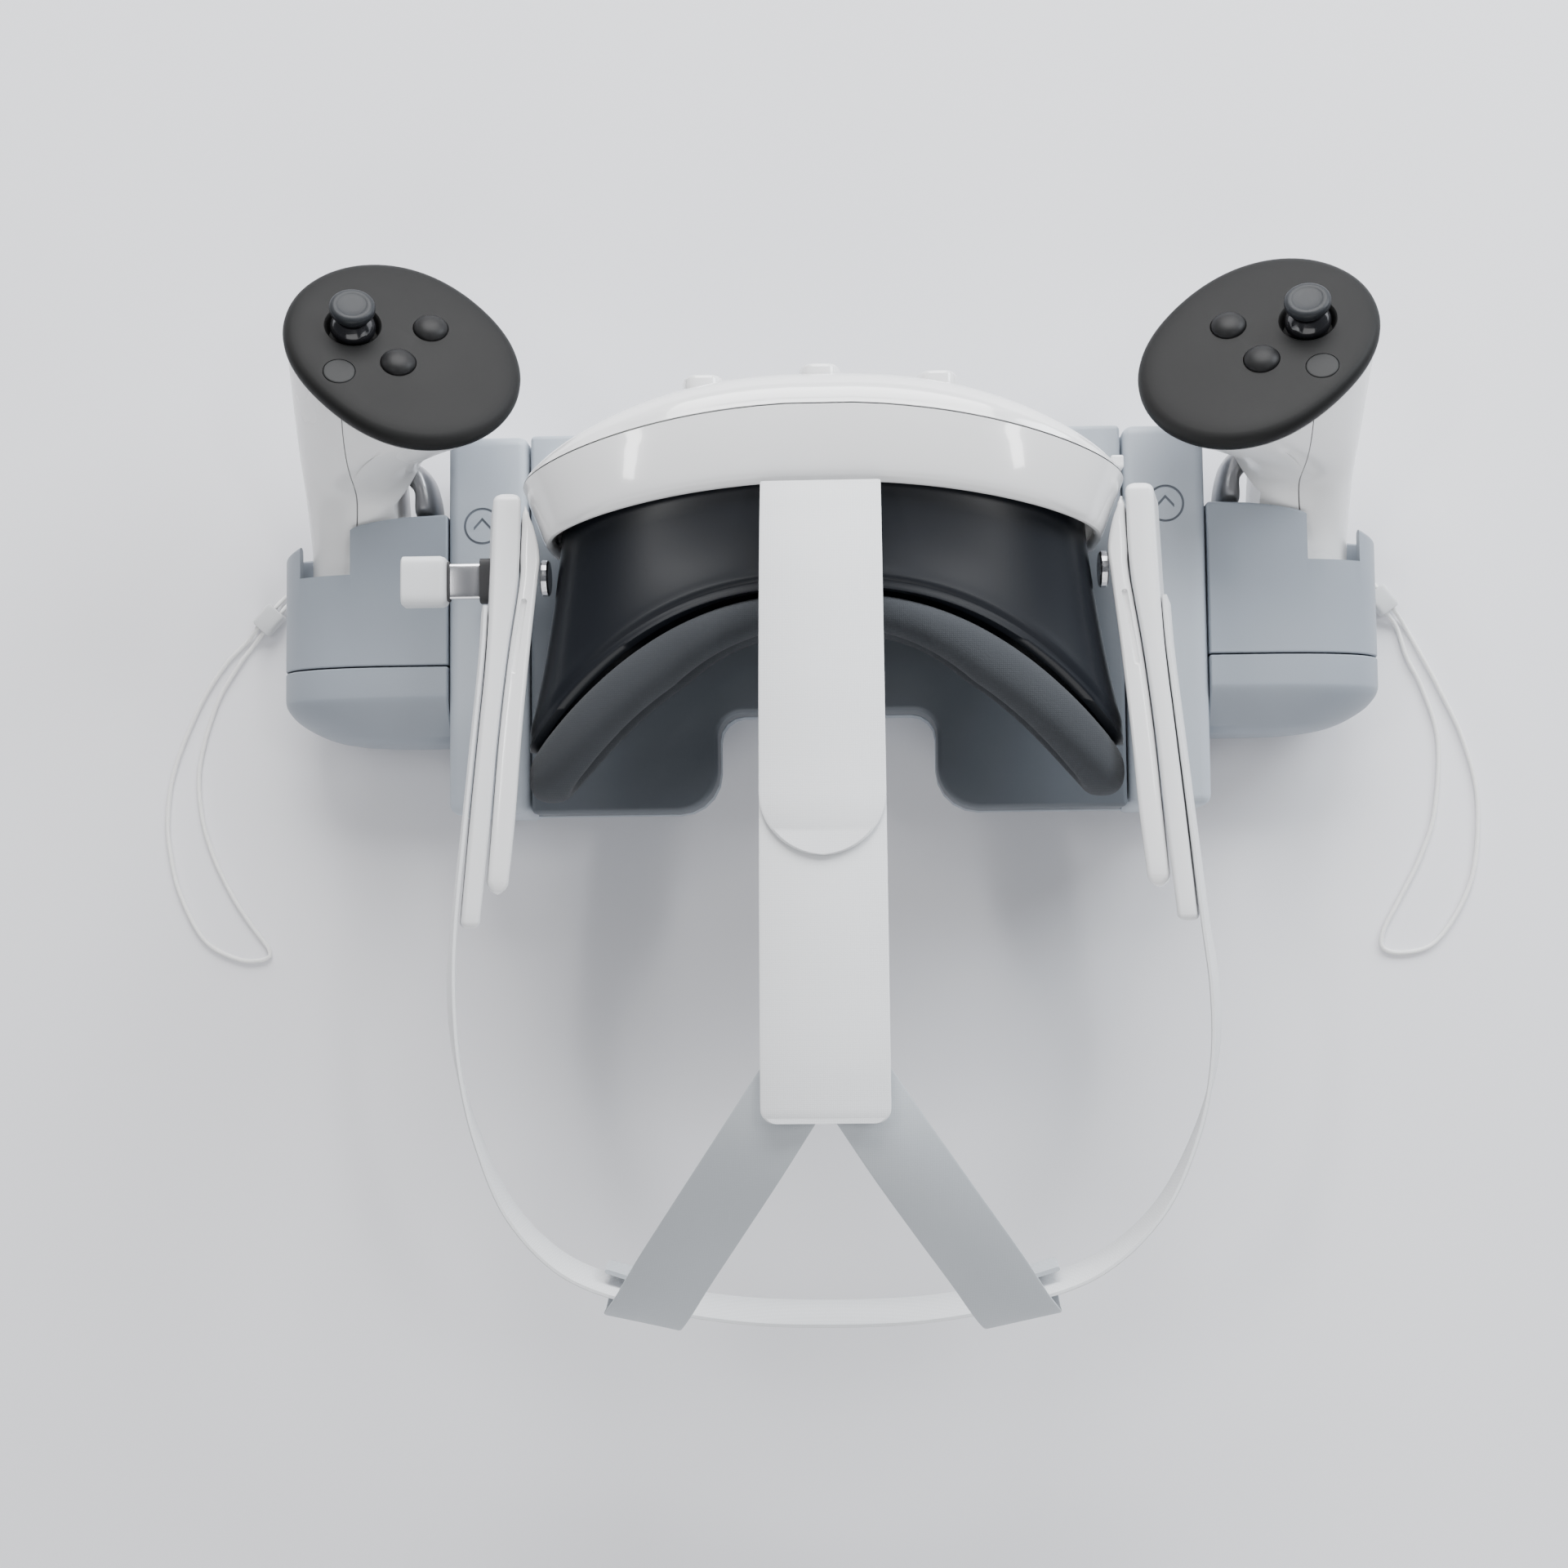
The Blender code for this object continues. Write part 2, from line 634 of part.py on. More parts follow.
def make_arm(side, label, mats):
    """The rigid side arm, and the rounded speaker housing on its inner face."""
    stations = (
        (33.0, 97.6, 91.0, 88.0, 110.0),
        (30.5, 99.4, 90.4, 86.0, 111.0),
        (8.0, 99.9, 91.4, 85.0, 111.0),
        (-16.0, 101.2, 94.9, 86.0, 111.0),
        (-41.0, 103.7, 97.9, 88.0, 111.0),
        (-66.0, 106.2, 100.1, 90.0, 110.5),
        (-98.0, 109.2, 103.2, 92.0, 110.0),
    )
    rings = [arm_section(side, y, outer * MM, inner * MM, low * MM, high * MM)
             for y, outer, inner, low, high in stations]
    arm = add_object("arm_" + label, lofted(rings), mats["white_satin"], ARM_PIVOT)
    if side < 0:
        port = box(mm(-112, 2.4, 93.6), mm(-98.5, 14.8, 98.2))
        cut(arm, port, "port_cutter")
    stations = (
        (30.0, 90.0, 89.3, 94.0, 107.0),
        (28.0, 90.1, 88.8, 91.0, 109.6),
        (23.0, 90.3, 86.8, 89.0, 110.0),
        (14.0, 90.7, 84.9, 88.5, 110.0),
        (6.0, 91.0, 85.6, 88.5, 110.0),
        (-17.0, 94.5, 88.2, 88.5, 110.0),
        (-41.0, 97.3, 90.5, 89.5, 110.0),
        (-66.0, 99.4, 92.5, 91.0, 109.6),
        (-83.0, 100.8, 94.4, 92.5, 109.0),
        (-88.5, 101.2, 97.8, 95.0, 107.0),
    )
    rings = [arm_section(side, y, outer * MM, inner * MM, low * MM, high * MM)
             for y, outer, inner, low, high in stations]
    add_object("speaker_" + label, lofted(rings), mats["white_gloss"], ARM_PIVOT)
    pin_centre = Vector((side * 83.9 * MM, 9.0 * MM, ARM_PIVOT.z))
    pin = turned([(5.0 * MM, 0.0), (5.6 * MM, 0.5 * MM), (5.6 * MM, 2.1 * MM), (5.2 * MM, 2.5 * MM)],
                 pin_centre, (side, 0, 0), 20)
    add_object("arm_pin_" + label, pin, mats["steel"], pin_centre)


def band_edges():
    """The upper and lower edge lines of the flexible band, from the left arm round to the right."""
    half = [
        (101.6, -1.0, 4.4), (102.6, -16.0, 4.4), (105.2, -41.0, 4.4), (107.8, -66.0, 4.4),
        (110.9, -98.0, 4.8), (112.2, -120.0, 5.4), (111.0, -141.0, 4.6), (106.2, -162.0, 3.2),
        (96.2, -184.0, 0.5), (78.6, -200.9, -1.8), (54.0, -209.6, -3.0), (27.0, -214.3, -3.4),
        (0.0, -215.4, -3.5),
    ]
    upper = []
    lower = []
    for sign, rows in ((-1, half), (1, half[-2::-1])):
        for x, y, flare in rows:
            sway = 1.6 * math.sin(math.pi * min(max((-100.0 - y) / 105.0, 0.0), 1.0))
            upper.append(mm(sign * x + sway, y, 110.0))
            spread = min(max(-y - 140.0, 0.0) / 70.0, 1.0)
            lower.append(mm(sign * (x + flare * (1 - spread)) + sway, y - flare * spread, 88.0))
    return smooth_path(upper, 64), smooth_path(lower, 64)


def make_band(mats):
    upper, lower = band_edges()
    add_object("head_band", ribbon(upper, lower, BAND_THICKNESS), mats["strap_white"], ARM_PIVOT)


TOP_STRAP_LINE = [(28.3, 132.8), (20.0, 137.5), (0.0, 146.5), (-30.0, 155.5), (-56.0, 161.0),
                  (-90.0, 168.0), (-114.0, 171.5), (-134.0, 173.6), (-151.0, 173.8)]


def make_top_strap(mats):
    """The strap over the head. Its front stretch is doubled, where it folds back on itself."""
    line = smooth_path([(0.0, y * MM, z * MM) for y, z in TOP_STRAP_LINE], 30)
    rings = []
    half = STRAP_WIDTH / 2
    for i, point in enumerate(line):
        before = line[max(i - 1, 0)]
        after = line[min(i + 1, len(line) - 1)]
        along = (after - before).normalized()
        up = Vector((1, 0, 0)).cross(along)
        if up.z < 0:
            up = -up
        top = 3.4 * MM if point.y > -80 * MM else 1.6 * MM
        rings.append([point + Vector((-half, 0, 0)), point + Vector((half, 0, 0)),
                      point + Vector((half, 0, 0)) + up * top, point + Vector((-half, 0, 0)) + up * top])
    add_object("top_strap", lofted(rings), mats["strap_white"], ARM_PIVOT)


def make_rear_strap(side, label, mats):
    """One leg of the rear fork. It runs down to the band, goes under it and up its inner side."""
    inner = [(2.4, -150.8, 172.0), (12.9, -167.3, 164.6), (23.5, -183.7, 149.6), (34.0, -200.2, 129.1),
             (40.9, -211.6, 114.5), (44.5, -217.0, 104.0), (45.0, -217.4, 94.0), (45.2, -214.8, 86.0),
             (45.3, -210.6, 83.4), (45.4, -206.4, 86.6), (45.4, -205.6, 95.0), (45.4, -206.8, 104.0)]
    outer = [(16.6, -135.0, 172.0), (29.3, -154.1, 164.6), (42.1, -173.2, 149.6), (54.8, -192.3, 129.1),
             (63.0, -205.6, 114.5), (67.5, -212.0, 104.0), (68.2, -212.4, 94.0), (68.2, -209.4, 86.0),
             (68.0, -204.8, 83.4), (67.6, -200.2, 86.6), (67.4, -199.0, 95.0), (67.4, -200.0, 104.0)]
    edge_a = smooth_path([mm(side * x, y, z) for x, y, z in inner], 34)
    edge_b = smooth_path([mm(side * x, y, z) for x, y, z in outer], 34)
    add_object("rear_strap_" + label, ribbon(edge_a, edge_b, 1.3 * MM), mats["strap_white"], ARM_PIVOT)


def make_charge_plug(mats):
    """A charging plug in the left arm's port: a square body with a flat metal tip."""
    rings = []
    body = ((-129.6, 7.0, 4.2), (-129.0, 7.7, 4.9), (-116.4, 7.7, 4.9), (-115.4, 6.9, 4.1))
    for x, half_y, half_z in body:
        outline = superellipse(half_y * MM, half_z * MM, 5.0, 16)
        rings.append([mm(x, 8.6, 95.9) + Vector((0, a, b)) for a, b in outline])
    for x, half_y, half_z in ((-115.3, 5.6, 1.6), (-102.4, 5.6, 1.6)):
        outline = superellipse(half_y * MM, half_z * MM, 5.0, 16)
        rings.append([mm(x, 8.6, 95.9) + Vector((0, a, b)) for a, b in outline])
    add_object("charge_plug", lofted(rings), mats["white_satin"], mm(-102.4, 8.6, 95.9))


# ---------------------------------------------------------------- controllers

FACE_CENTRES = {-1: (-134.8 * MM, 87.0 * MM, 76.0 * MM), 1: (138.4 * MM, 82.6 * MM, 76.0 * MM)}


def face_axes(side):
    """A controller's face: across it towards the dock, down it away from the dock, and its normal."""
    upright = Vector((0.0, math.sin(FACE_TILT), math.cos(FACE_TILT)))
    inward = Vector((-side, 0.0, 0.0))
    down = Vector((0.0, math.cos(FACE_TILT), -math.sin(FACE_TILT)))
    normal = upright * math.cos(FACE_LEAN) + inward * math.sin(FACE_LEAN)
    across = inward * math.cos(FACE_LEAN) - upright * math.sin(FACE_LEAN)
    return across, down, normal


def face_point(side, a, b, height=0.0):
    """A point on a controller's face: a across (outwards is negative), b away from the dock."""
    across, down, normal = face_axes(side)
    return Vector(FACE_CENTRES[side]) + across * a + down * b + normal * height


def face_radius(angle):
    """The face's outline: nearly round, longer towards the thumbstick and the far corner."""
    swing = 4.6 * math.cos(2.0 * (angle - math.radians(137.0)))
    return (37.2 + swing + 1.5 * math.cos(angle - math.radians(60.0))) * MM


def face_ring(side, scale, height, count=RING_POINTS):
    ring = []
    for k in range(count):
        angle = 2.0 * math.pi * k / count
        radius = face_radius(angle) * scale
        ring.append(face_point(side, radius * math.cos(angle), radius * math.sin(angle), height))
    return ring


def handle_ring(side, y, half_width, half_height, shift=0.0, count=RING_POINTS):
    """A cross-section of the handle, counted round the same way as the face's outline."""
    ring = []
    for k in range(count):
        angle = 2.0 * math.pi * k / count
        c = math.copysign(abs(math.cos(angle)) ** 0.85, math.cos(angle))
        s = math.copysign(abs(math.sin(angle)) ** 0.85, math.sin(angle))
        x = -side * half_width * c * MM + side * (HANDLE_X + shift * MM)
        ring.append(Vector((x, y * MM, HANDLE_Z - half_height * s * MM)))
    return ring


def controller_body_rings(side):
    """Rings from the handle's end to the underside of the face."""
    rings = [
        handle_ring(side, -27.0, 9.0, 8.0),
        handle_ring(side, -24.0, 13.0, 12.0),
        handle_ring(side, -10.0, 16.5, 14.5),
        handle_ring(side, 12.0, 17.5, 15.2),
        handle_ring(side, 36.0, 18.2, 16.0),
    ]
    neck = handle_ring(side, 44.0, 18.6, 17.0)
    face = face_ring(side, 0.97, -FACE_THICKNESS - GAP)
    for share in (0.14, 0.3, 0.46, 0.62, 0.76, 0.88):
        ring = []
        for low, high in zip(neck, face):
            point = low.lerp(high, share)
            inner = (low.x - side * HANDLE_X) * side < 0.0
            point.x = low.x + (high.x - low.x) * share ** (2.6 if inner else 1.8)
            ring.append(point)
        rings.append(ring)
    rings.append(face)
    return rings


def half_shell(side, keep_outer):
    """The body cut along its seam, keeping one side of it."""
    bm = lofted(controller_body_rings(side))
    bmesh.ops.recalc_face_normals(bm, faces=bm.faces)
    offset = GAP / 2 if keep_outer else -GAP / 2
    plane = Vector((side * (SHELL_SEAM[0] + offset), SHELL_SEAM[1], 0.0))
    normal = Vector((side, SEAM_SLANT, 0.0)).normalized()
    geom = bm.verts[:] + bm.edges[:] + bm.faces[:]
    bmesh.ops.bisect_plane(bm, geom=geom, plane_co=plane, plane_no=normal, clear_inner=keep_outer,
                           clear_outer=not keep_outer)
    open_edges = [edge for edge in bm.edges if edge.is_boundary]
    bmesh.ops.holes_fill(bm, edges=open_edges, sides=0)
    return bm


def make_body(side, label, mats, origin):
    outer = add_object("outer_shell_" + label, half_shell(side, True), mats["white_satin"], origin)
    inner = add_object("inner_shell_" + label, half_shell(side, False), mats["white_satin"], origin)
    x_low, x_high = sorted((side * 120.0 * MM, side * 143.5 * MM))
    trigger_room = box((x_low, 39.0 * MM, 12.0 * MM), (x_high, 60.0 * MM, 44.0 * MM))
    x_low, x_high = sorted((side * 120.0 * MM, side * 145.6 * MM))
    grip_room = box((x_low, 0.0, 14.0 * MM), (x_high, 30.0 * MM, 34.0 * MM))
    cut(inner, merged([trigger_room, grip_room]), "lever_room_cutter_" + label)
    return outer, inner


BUTTON_PLACES = (("a", 8.8 * MM, 10.3 * MM), ("b", 0.1 * MM, -5.9 * MM))
MENU_PLACE = (-17.8 * MM, -12.1 * MM)
STICK_PLACE = (-15.8 * MM, 8.2 * MM)


def make_face(side, label, mats, origin):
    """The dark plate that carries the thumbstick and the buttons."""
    rings = [
        face_ring(side, 0.965, -FACE_THICKNESS),
        face_ring(side, 0.995, -FACE_THICKNESS + 1.5 * MM),
        face_ring(side, 1.0, -2.6 * MM),
        face_ring(side, 0.975, -0.9 * MM),
        face_ring(side, 0.93, -0.1 * MM),
        face_ring(side, 0.80, 0.5 * MM),
    ]
    plate = add_object("face_plate_" + label, lofted(rings), mats["face_grey"], origin)
    normal = face_axes(side)[2]
    wells = []
    for name, a, b in BUTTON_PLACES:
        wells.append(turned([(5.9 * MM, -3.2 * MM), (5.9 * MM, 6 * MM)], face_point(side, a, b), normal, 20))
    a, b = MENU_PLACE
    wells.append(turned([(5.3 * MM, -2.2 * MM), (5.3 * MM, 6 * MM)], face_point(side, a, b), normal, 20))
    a, b = STICK_PLACE
    wells.append(turned([(7.7 * MM, -5.2 * MM), (8.9 * MM, 6 * MM)], face_point(side, a, b), normal, 24))
    cut(plate, merged(wells), "well_cutter_" + label)


def make_buttons(side, label, mats):
    normal = face_axes(side)[2]
    dome = [(5.5 * MM, -1.7 * MM), (5.5 * MM, 1.2 * MM), (4.8 * MM, 2.1 * MM), (3.2 * MM, 2.7 * MM),
            (1.2 * MM, 2.95 * MM)]
    for name, a, b in BUTTON_PLACES:
        centre = face_point(side, a, b)
        bm = turned(dome, centre, normal, 20)
        add_object("button_" + name + "_" + label, bm, mats["button_grey"], centre)
    centre = face_point(side, *MENU_PLACE)
    flat = [(4.9 * MM, -1.4 * MM), (4.9 * MM, 0.45 * MM), (4.5 * MM, 0.8 * MM)]
    add_object("menu_button_" + label, turned(flat, centre, normal, 20), mats["button_grey"], centre)


def make_stick(side, label, mats):
    """The thumbstick: a dark stem that tilts one way, and a cap on it that tilts the other."""
    normal = face_axes(side)[2]
    pivot = face_point(side, *STICK_PLACE, -1.0 * MM)
    stem = [(4.4, -2.6), (6.4, -1.4), (7.3, 0.4), (7.0, 2.2), (6.0, 3.8), (5.2, 4.8), (4.0, 5.12),
            (2.4, 6.04), (0.8, 6.45)]
    bm = turned([(r * MM, h * MM) for r, h in stem], pivot, normal, 20)
    add_object("stick_stem_" + label, bm, mats["stick_black"], pivot)
    cap = [(5.8, 6.9), (6.9, 7.8), (7.3, 9.0), (7.2, 10.0), (6.5, 10.8), (5.2, 11.0), (4.4, 10.8)]
    bm = turned([(r * MM, h * MM) for r, h in cap], pivot, normal, 24)
    add_object("stick_cap_" + label, bm, mats["button_grey"], pivot)


def lever(side, rows):
    """A curved finger lever from rows of depth along Y, outer and inner X, low and high Z."""
    rings = []
    for y, outer, inner, low, high in rows:
        ring = [(outer, low + 2.0), (outer - 0.8, high - 2.0), (outer - 2.0, high), (inner, high - 1.5),
                (inner, low + 1.5), (outer - 2.0, low)]
        rings.append([mm(side * x, y, z) for x, z in ring])
    return lofted(rings)


def make_levers(side, label, mats):
    """The trigger, and the grip button below it, both on the side that faces the dock."""
    trigger = [(57.5, 143.0, 135.4, 24.0, 42.0), (54.0, 142.9, 133.0, 20.0, 43.0),
               (49.0, 142.8, 134.0, 17.0, 43.0), (44.0, 142.8, 132.6, 16.0, 42.0),
               (40.6, 142.7, 130.2, 17.0, 40.0)]
    rows = [(y, outer - 0.6 if y > 50 else outer - 4.5, inner, low, high)
            for y, outer, inner, low, high in trigger]
    pivot = mm(side * 140.0, 56.0, 30.0)
    add_object("trigger_" + label, lever(side, rows), mats["stick_black"], pivot)
    grip = [(29.4, 143.6, 139.6, 17.0, 31.0), (25.0, 143.6, 138.2, 15.0, 33.0),
            (12.0, 142.0, 137.6, 15.0, 33.0), (1.0, 141.4, 137.8, 16.0, 32.0)]
    pivot = mm(side * 142.0, 28.6, 24.0)
    add_object("grip_button_" + label, lever(side, grip), mats["button_grey"], pivot)


BEAD_Z = 2.8 * MM
BEAD_CENTRE = {-1: (-196.4 * MM, 11.4 * MM, BEAD_Z), 1: (191.8 * MM, 12.1 * MM, BEAD_Z)}
BEAD_ALONG = {-1: Vector((-7.6, -8.4, 0.0)).normalized(), 1: Vector((6.8, -9.2, 0.0)).normalized()}
STRAND_OFFSET = 1.35 * MM

LOOPS = {
    -1: [(212.6, -4.0), (221.4, -18.2), (230.0, -39.8), (232.6, -57.0), (231.4, -71.3), (227.6, -85.7),
         (219.0, -101.0), (207.0, -107.6), (198.0, -107.6), (196.4, -104.4), (203.0, -95.4),
         (209.2, -86.0), (216.3, -71.6), (220.5, -57.2), (221.4, -39.9), (215.8, -18.6), (208.0, -4.6)],
    1: [(205.6, -7.6), (211.0, -18.6), (218.4, -35.9), (222.8, -55.6), (221.5, -77.9), (216.6, -92.6),
        (207.0, -106.0), (197.0, -109.4), (189.4, -108.0), (189.4, -102.0), (195.3, -91.0),
        (202.7, -77.0), (208.1, -61.0), (210.0, -36.4), (205.2, -18.4), (200.2, -7.4)],
}


def bead_points(side, outer):
    """The stretch of one strand that runs straight through the bead, on the way out."""
    centre = Vector(BEAD_CENTRE[side])
    along = BEAD_ALONG[side]
    across = Vector((side * abs(along.y), abs(along.x), 0.0)) * STRAND_OFFSET
    base = centre + (across if outer else -across)
    drop = Vector((0.0, 0.0, BEAD_Z - 0.85 * MM))
    return [base - along * 11 * MM - drop, base - along * 5 * MM, base, base + along * 5 * MM,
            base + along * 11 * MM - drop]


def lanyard_route(side):
    """The wrist loop: down from the handle, under the pod's belly, through its bead, round and back."""
    start = [(158.8, 44.5, 6.6), (160.4, 42.4, 2.6), (164.5, 38.6, 0.95), (172.0, 33.0, 0.85)]
    finish = [(170.4, 29.8, 0.85), (163.4, 34.6, 0.85), (158.4, 38.6, 0.95), (155.4, 41.4, 2.6),
              (154.4, 43.6, 6.4)]
    loop = [(x, y, 0.85) for x, y in LOOPS[side]]
    route = [mm(side * x, y, z) for x, y, z in start] + bead_points(side, True)
    route += [mm(side * x, y, z) for x, y, z in loop] + bead_points(side, False)[::-1]
    return route + [mm(side * x, y, z) for x, y, z in finish]


def make_lanyard(side, label, mats):
    points = smooth_path(lanyard_route(side), 80)
    curve = bpy.data.curves.new("wrist_cord_" + label, "CURVE")
    curve.dimensions = "3D"
    curve.bevel_depth = CORD_RADIUS
    curve.bevel_resolution = 2
    curve.use_fill_caps = True
    spline = curve.splines.new("POLY")
    spline.points.add(len(points) - 1)
    for slot, point in zip(spline.points, points):
        slot.co = (*point, 1.0)
    curve.materials.append(mats["cord_white"])
    obj = bpy.data.objects.new("wrist_cord_" + label, curve)
    bpy.context.scene.collection.objects.link(obj)
    make_bead(side, label, mats)


def make_bead(side, label, mats):
    """The bead that the two strands of the wrist loop run through."""
    centre = Vector(BEAD_CENTRE[side])
    along = BEAD_ALONG[side]
    up = Vector((0.0, 0.0, 1.0))
    across = along.cross(up)
    rings = []
    for shift, half_w, half_h in ((-4.5, 4.0, 2.6), (4.5, 4.0, 2.6), (4.5, 2.8, 1.3), (-4.5, 2.8, 1.3)):
        ring = []
        for a, b in superellipse(half_w, half_h, 4.0, 12):
            ring.append(centre + along * shift * MM + across * a * MM + up * b * MM)
        rings.append(ring)
    add_object("cord_bead_" + label, lofted(rings, closed_loop=True), mats["white_satin"], centre)


def make_controller(side, label, mats):
    origin = Vector((side * HANDLE_X, 0.0, HANDLE_Z))
    make_body(side, label, mats, origin)
    make_face(side, label, mats, origin)
    make_buttons(side, label, mats)
    make_stick(side, label, mats)
    make_levers(side, label, mats)
    make_lanyard(side, label, mats)


def main():
    clear_scene()
    mats = make_materials()
    make_deck(mats)
    make_visor(mats)
    make_camera_pods(mats)
    make_inside_parts(mats)
    make_cushion(mats)
    make_interface(mats)
    make_small_controls(mats)
    make_band(mats)
    make_top_strap(mats)
    make_charge_plug(mats)
    for side, label in ((-1, "left"), (1, "right")):
        make_block(side, label, mats)
        make_pod(side, label, mats)
        make_lens(side, label, mats)
        make_arm(side, label, mats)
        make_rear_strap(side, label, mats)
        make_controller(side, label, mats)


main()
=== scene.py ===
"""Looks for a VR headset on its charging dock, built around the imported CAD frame.

Tables and sizes here are in millimetres, and the helpers turn them into metres.
Left is -X, and the headset looks along +Y.
"""
import math

import bmesh
import bpy
from mathutils import Matrix, Vector


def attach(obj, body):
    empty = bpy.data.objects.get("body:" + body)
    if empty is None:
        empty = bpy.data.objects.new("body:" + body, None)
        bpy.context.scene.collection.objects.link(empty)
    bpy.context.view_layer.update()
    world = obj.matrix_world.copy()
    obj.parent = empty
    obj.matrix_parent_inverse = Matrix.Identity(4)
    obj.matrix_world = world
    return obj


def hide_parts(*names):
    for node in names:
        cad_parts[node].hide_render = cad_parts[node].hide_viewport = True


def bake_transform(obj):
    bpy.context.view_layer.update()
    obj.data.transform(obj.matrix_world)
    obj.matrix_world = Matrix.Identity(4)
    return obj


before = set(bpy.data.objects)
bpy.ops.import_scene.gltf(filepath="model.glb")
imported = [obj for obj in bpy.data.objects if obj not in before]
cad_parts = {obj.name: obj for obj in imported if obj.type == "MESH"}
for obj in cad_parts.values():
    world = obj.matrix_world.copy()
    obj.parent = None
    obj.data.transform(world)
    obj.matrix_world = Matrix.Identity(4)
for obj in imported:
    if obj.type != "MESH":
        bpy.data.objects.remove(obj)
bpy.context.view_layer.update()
SIDES = ((-1, "left"), (1, "right"))
MM = 0.001


# ---------------- geometry helpers

def mm(*values):
    return Vector([value * MM for value in values])


def smooth_rows(rows, count):
    """Reads a Catmull-Rom curve through rows of numbers at even steps of its index."""
    rows = [tuple(float(v) for v in row) for row in rows]
    first = tuple(2 * a - b for a, b in zip(rows[0], rows[1]))
    last = tuple(2 * a - b for a, b in zip(rows[-1], rows[-2]))
    padded = [first] + rows + [last]
    result = []
    for k in range(count):
        place = (len(rows) - 1) * k / (count - 1)
        i = min(int(place), len(rows) - 2)
        t = place - i
        p0, p1, p2, p3 = padded[i:i + 4]
        result.append([0.5 * (2 * b + (c - a) * t + (2 * a - 5 * b + 4 * c - d) * t * t
                              + (3 * b - a - 3 * c + d) * t ** 3)
                       for a, b, c, d in zip(p0, p1, p2, p3)])
    return result


def smooth_path(points, count):
    """A Catmull-Rom curve through points, read at even steps of its length."""
    points = [Vector(point) for point in points]
    fine = [Vector(row) for row in smooth_rows(points, 24 * (len(points) - 1) + 1)]
    lengths = [0.0]
    for a, b in zip(fine, fine[1:]):
        lengths.append(lengths[-1] + (b - a).length)
    result = []
    j = 0
    for k in range(count):
        target = lengths[-1] * k / (count - 1)
        while j < len(fine) - 2 and lengths[j + 1] < target:
            j += 1
        span = max(lengths[j + 1] - lengths[j], 1e-12)
        result.append(fine[j].lerp(fine[j + 1], (target - lengths[j]) / span))
    return result


def skinned(rings, pairs):
    """A bmesh with a row of vertices for each ring, and quads between the given pairs of rows."""
    bm = bmesh.new()
    rows = [[bm.verts.new(point) for point in ring] for ring in rings]
    count = len(rows[0])
    for i, j in pairs:
        for k in range(count):
            bm.faces.new((rows[i][k], rows[i][(k + 1) % count], rows[j][(k + 1) % count], rows[j][k]))
    return bm, rows


def loft(rings, closed_loop=False):
    steps = len(rings) if closed_loop else len(rings) - 1
    bm, rows = skinned(rings, [(i, (i + 1) % len(rings)) for i in range(steps)])
    if not closed_loop:
        bm.faces.new(rows[0][::-1])
        bm.faces.new(rows[-1])
    return bm


def signed_power(value, power):
    return math.copysign(abs(value) ** power, value)


def circle_angles(count, offset=0.0):
    return [2.0 * math.pi * (k + offset) / count for k in range(count)]


def superellipse(half_a, half_b, power, count):
    return [(half_a * signed_power(math.cos(angle), 2.0 / power),
             half_b * signed_power(math.sin(angle), 2.0 / power)) for angle in circle_angles(count, 0.5)]


def box(low, high, bevel=0.0, segments=3):
    bm = bmesh.new()
    low = Vector(low)
    high = Vector(high)
    bmesh.ops.create_cube(bm, size=1.0)
    for vert in bm.verts:
        vert.co = Vector([low[i] + (vert.co[i] + 0.5) * (high[i] - low[i]) for i in range(3)])
    if bevel > 0.0:
        bmesh.ops.bevel(bm, geom=bm.edges[:], offset=bevel, segments=segments, profile=0.5,
                        affect="EDGES", clamp_overlap=True)
    return bm


def side_box(side, x_range, y_range, z_range, bevel=0.0, segments=3):
    """A box given on the right, or its mirror image on the left."""
    low, high = sorted(side * x for x in x_range)
    return box(mm(low, y_range[0], z_range[0]), mm(high, y_range[1], z_range[1]), bevel * MM, segments)


def turned(profile, centre, axis, segments=48):
    """A solid of revolution from (radius, height) pairs in millimetres."""
    along = Vector(axis).normalized()
    side = along.cross(Vector((1, 0, 0)))
    if side.length < 0.1:
        side = along.cross(Vector((0, 0, 1)))
    side.normalize()
    up = along.cross(side).normalized()
    spokes = [side * math.cos(angle) + up * math.sin(angle) for angle in circle_angles(segments)]
    return loft([[Vector(centre) + along * height * MM + spoke * radius * MM for spoke in spokes]
                 for radius, height in profile])


def arc(centre, radius, start_deg, end_deg, steps):
    angles = [math.radians(start_deg + (end_deg - start_deg) * k / steps) for k in range(steps + 1)]
    return [(centre[0] + radius * math.cos(angle), centre[1] + radius * math.sin(angle))
            for angle in angles]


def ribbon(edge_a, edge_b, thickness, corner_steps=3):
    """A strap between two edge lines, with rounded edges."""
    rings = []
    count = len(edge_a)
    half = thickness / 2
    for i in range(count):
        before = max(i - 1, 0)
        after = min(i + 1, count - 1)
        along = (edge_a[after] + edge_b[after]) - (edge_a[before] + edge_b[before])
        across = (edge_b[i] - edge_a[i]).normalized()
        out = along.cross(across).normalized()
        ring = []
        for edge, sign in ((edge_a[i], -1.0), (edge_b[i], 1.0)):
            for k in range(corner_steps + 1):
                angle = math.pi * k / corner_steps
                ring.append(edge - across * sign * half * (1.0 - math.sin(angle))
                            + out * sign * half * math.cos(angle))
        rings.append(ring)
    return loft(rings)


def join(*parts):
    """One bmesh holding several."""
    whole = bmesh.new()
    for part in parts:
        mesh = bpy.data.meshes.new("scratch")
        part.to_mesh(mesh)
        part.free()
        whole.from_mesh(mesh)
        bpy.data.meshes.remove(mesh)
    return whole


def smoothed(mesh, sharp_degrees):
    mesh.shade_smooth()
    mesh.set_sharp_from_angle(angle=math.radians(sharp_degrees))


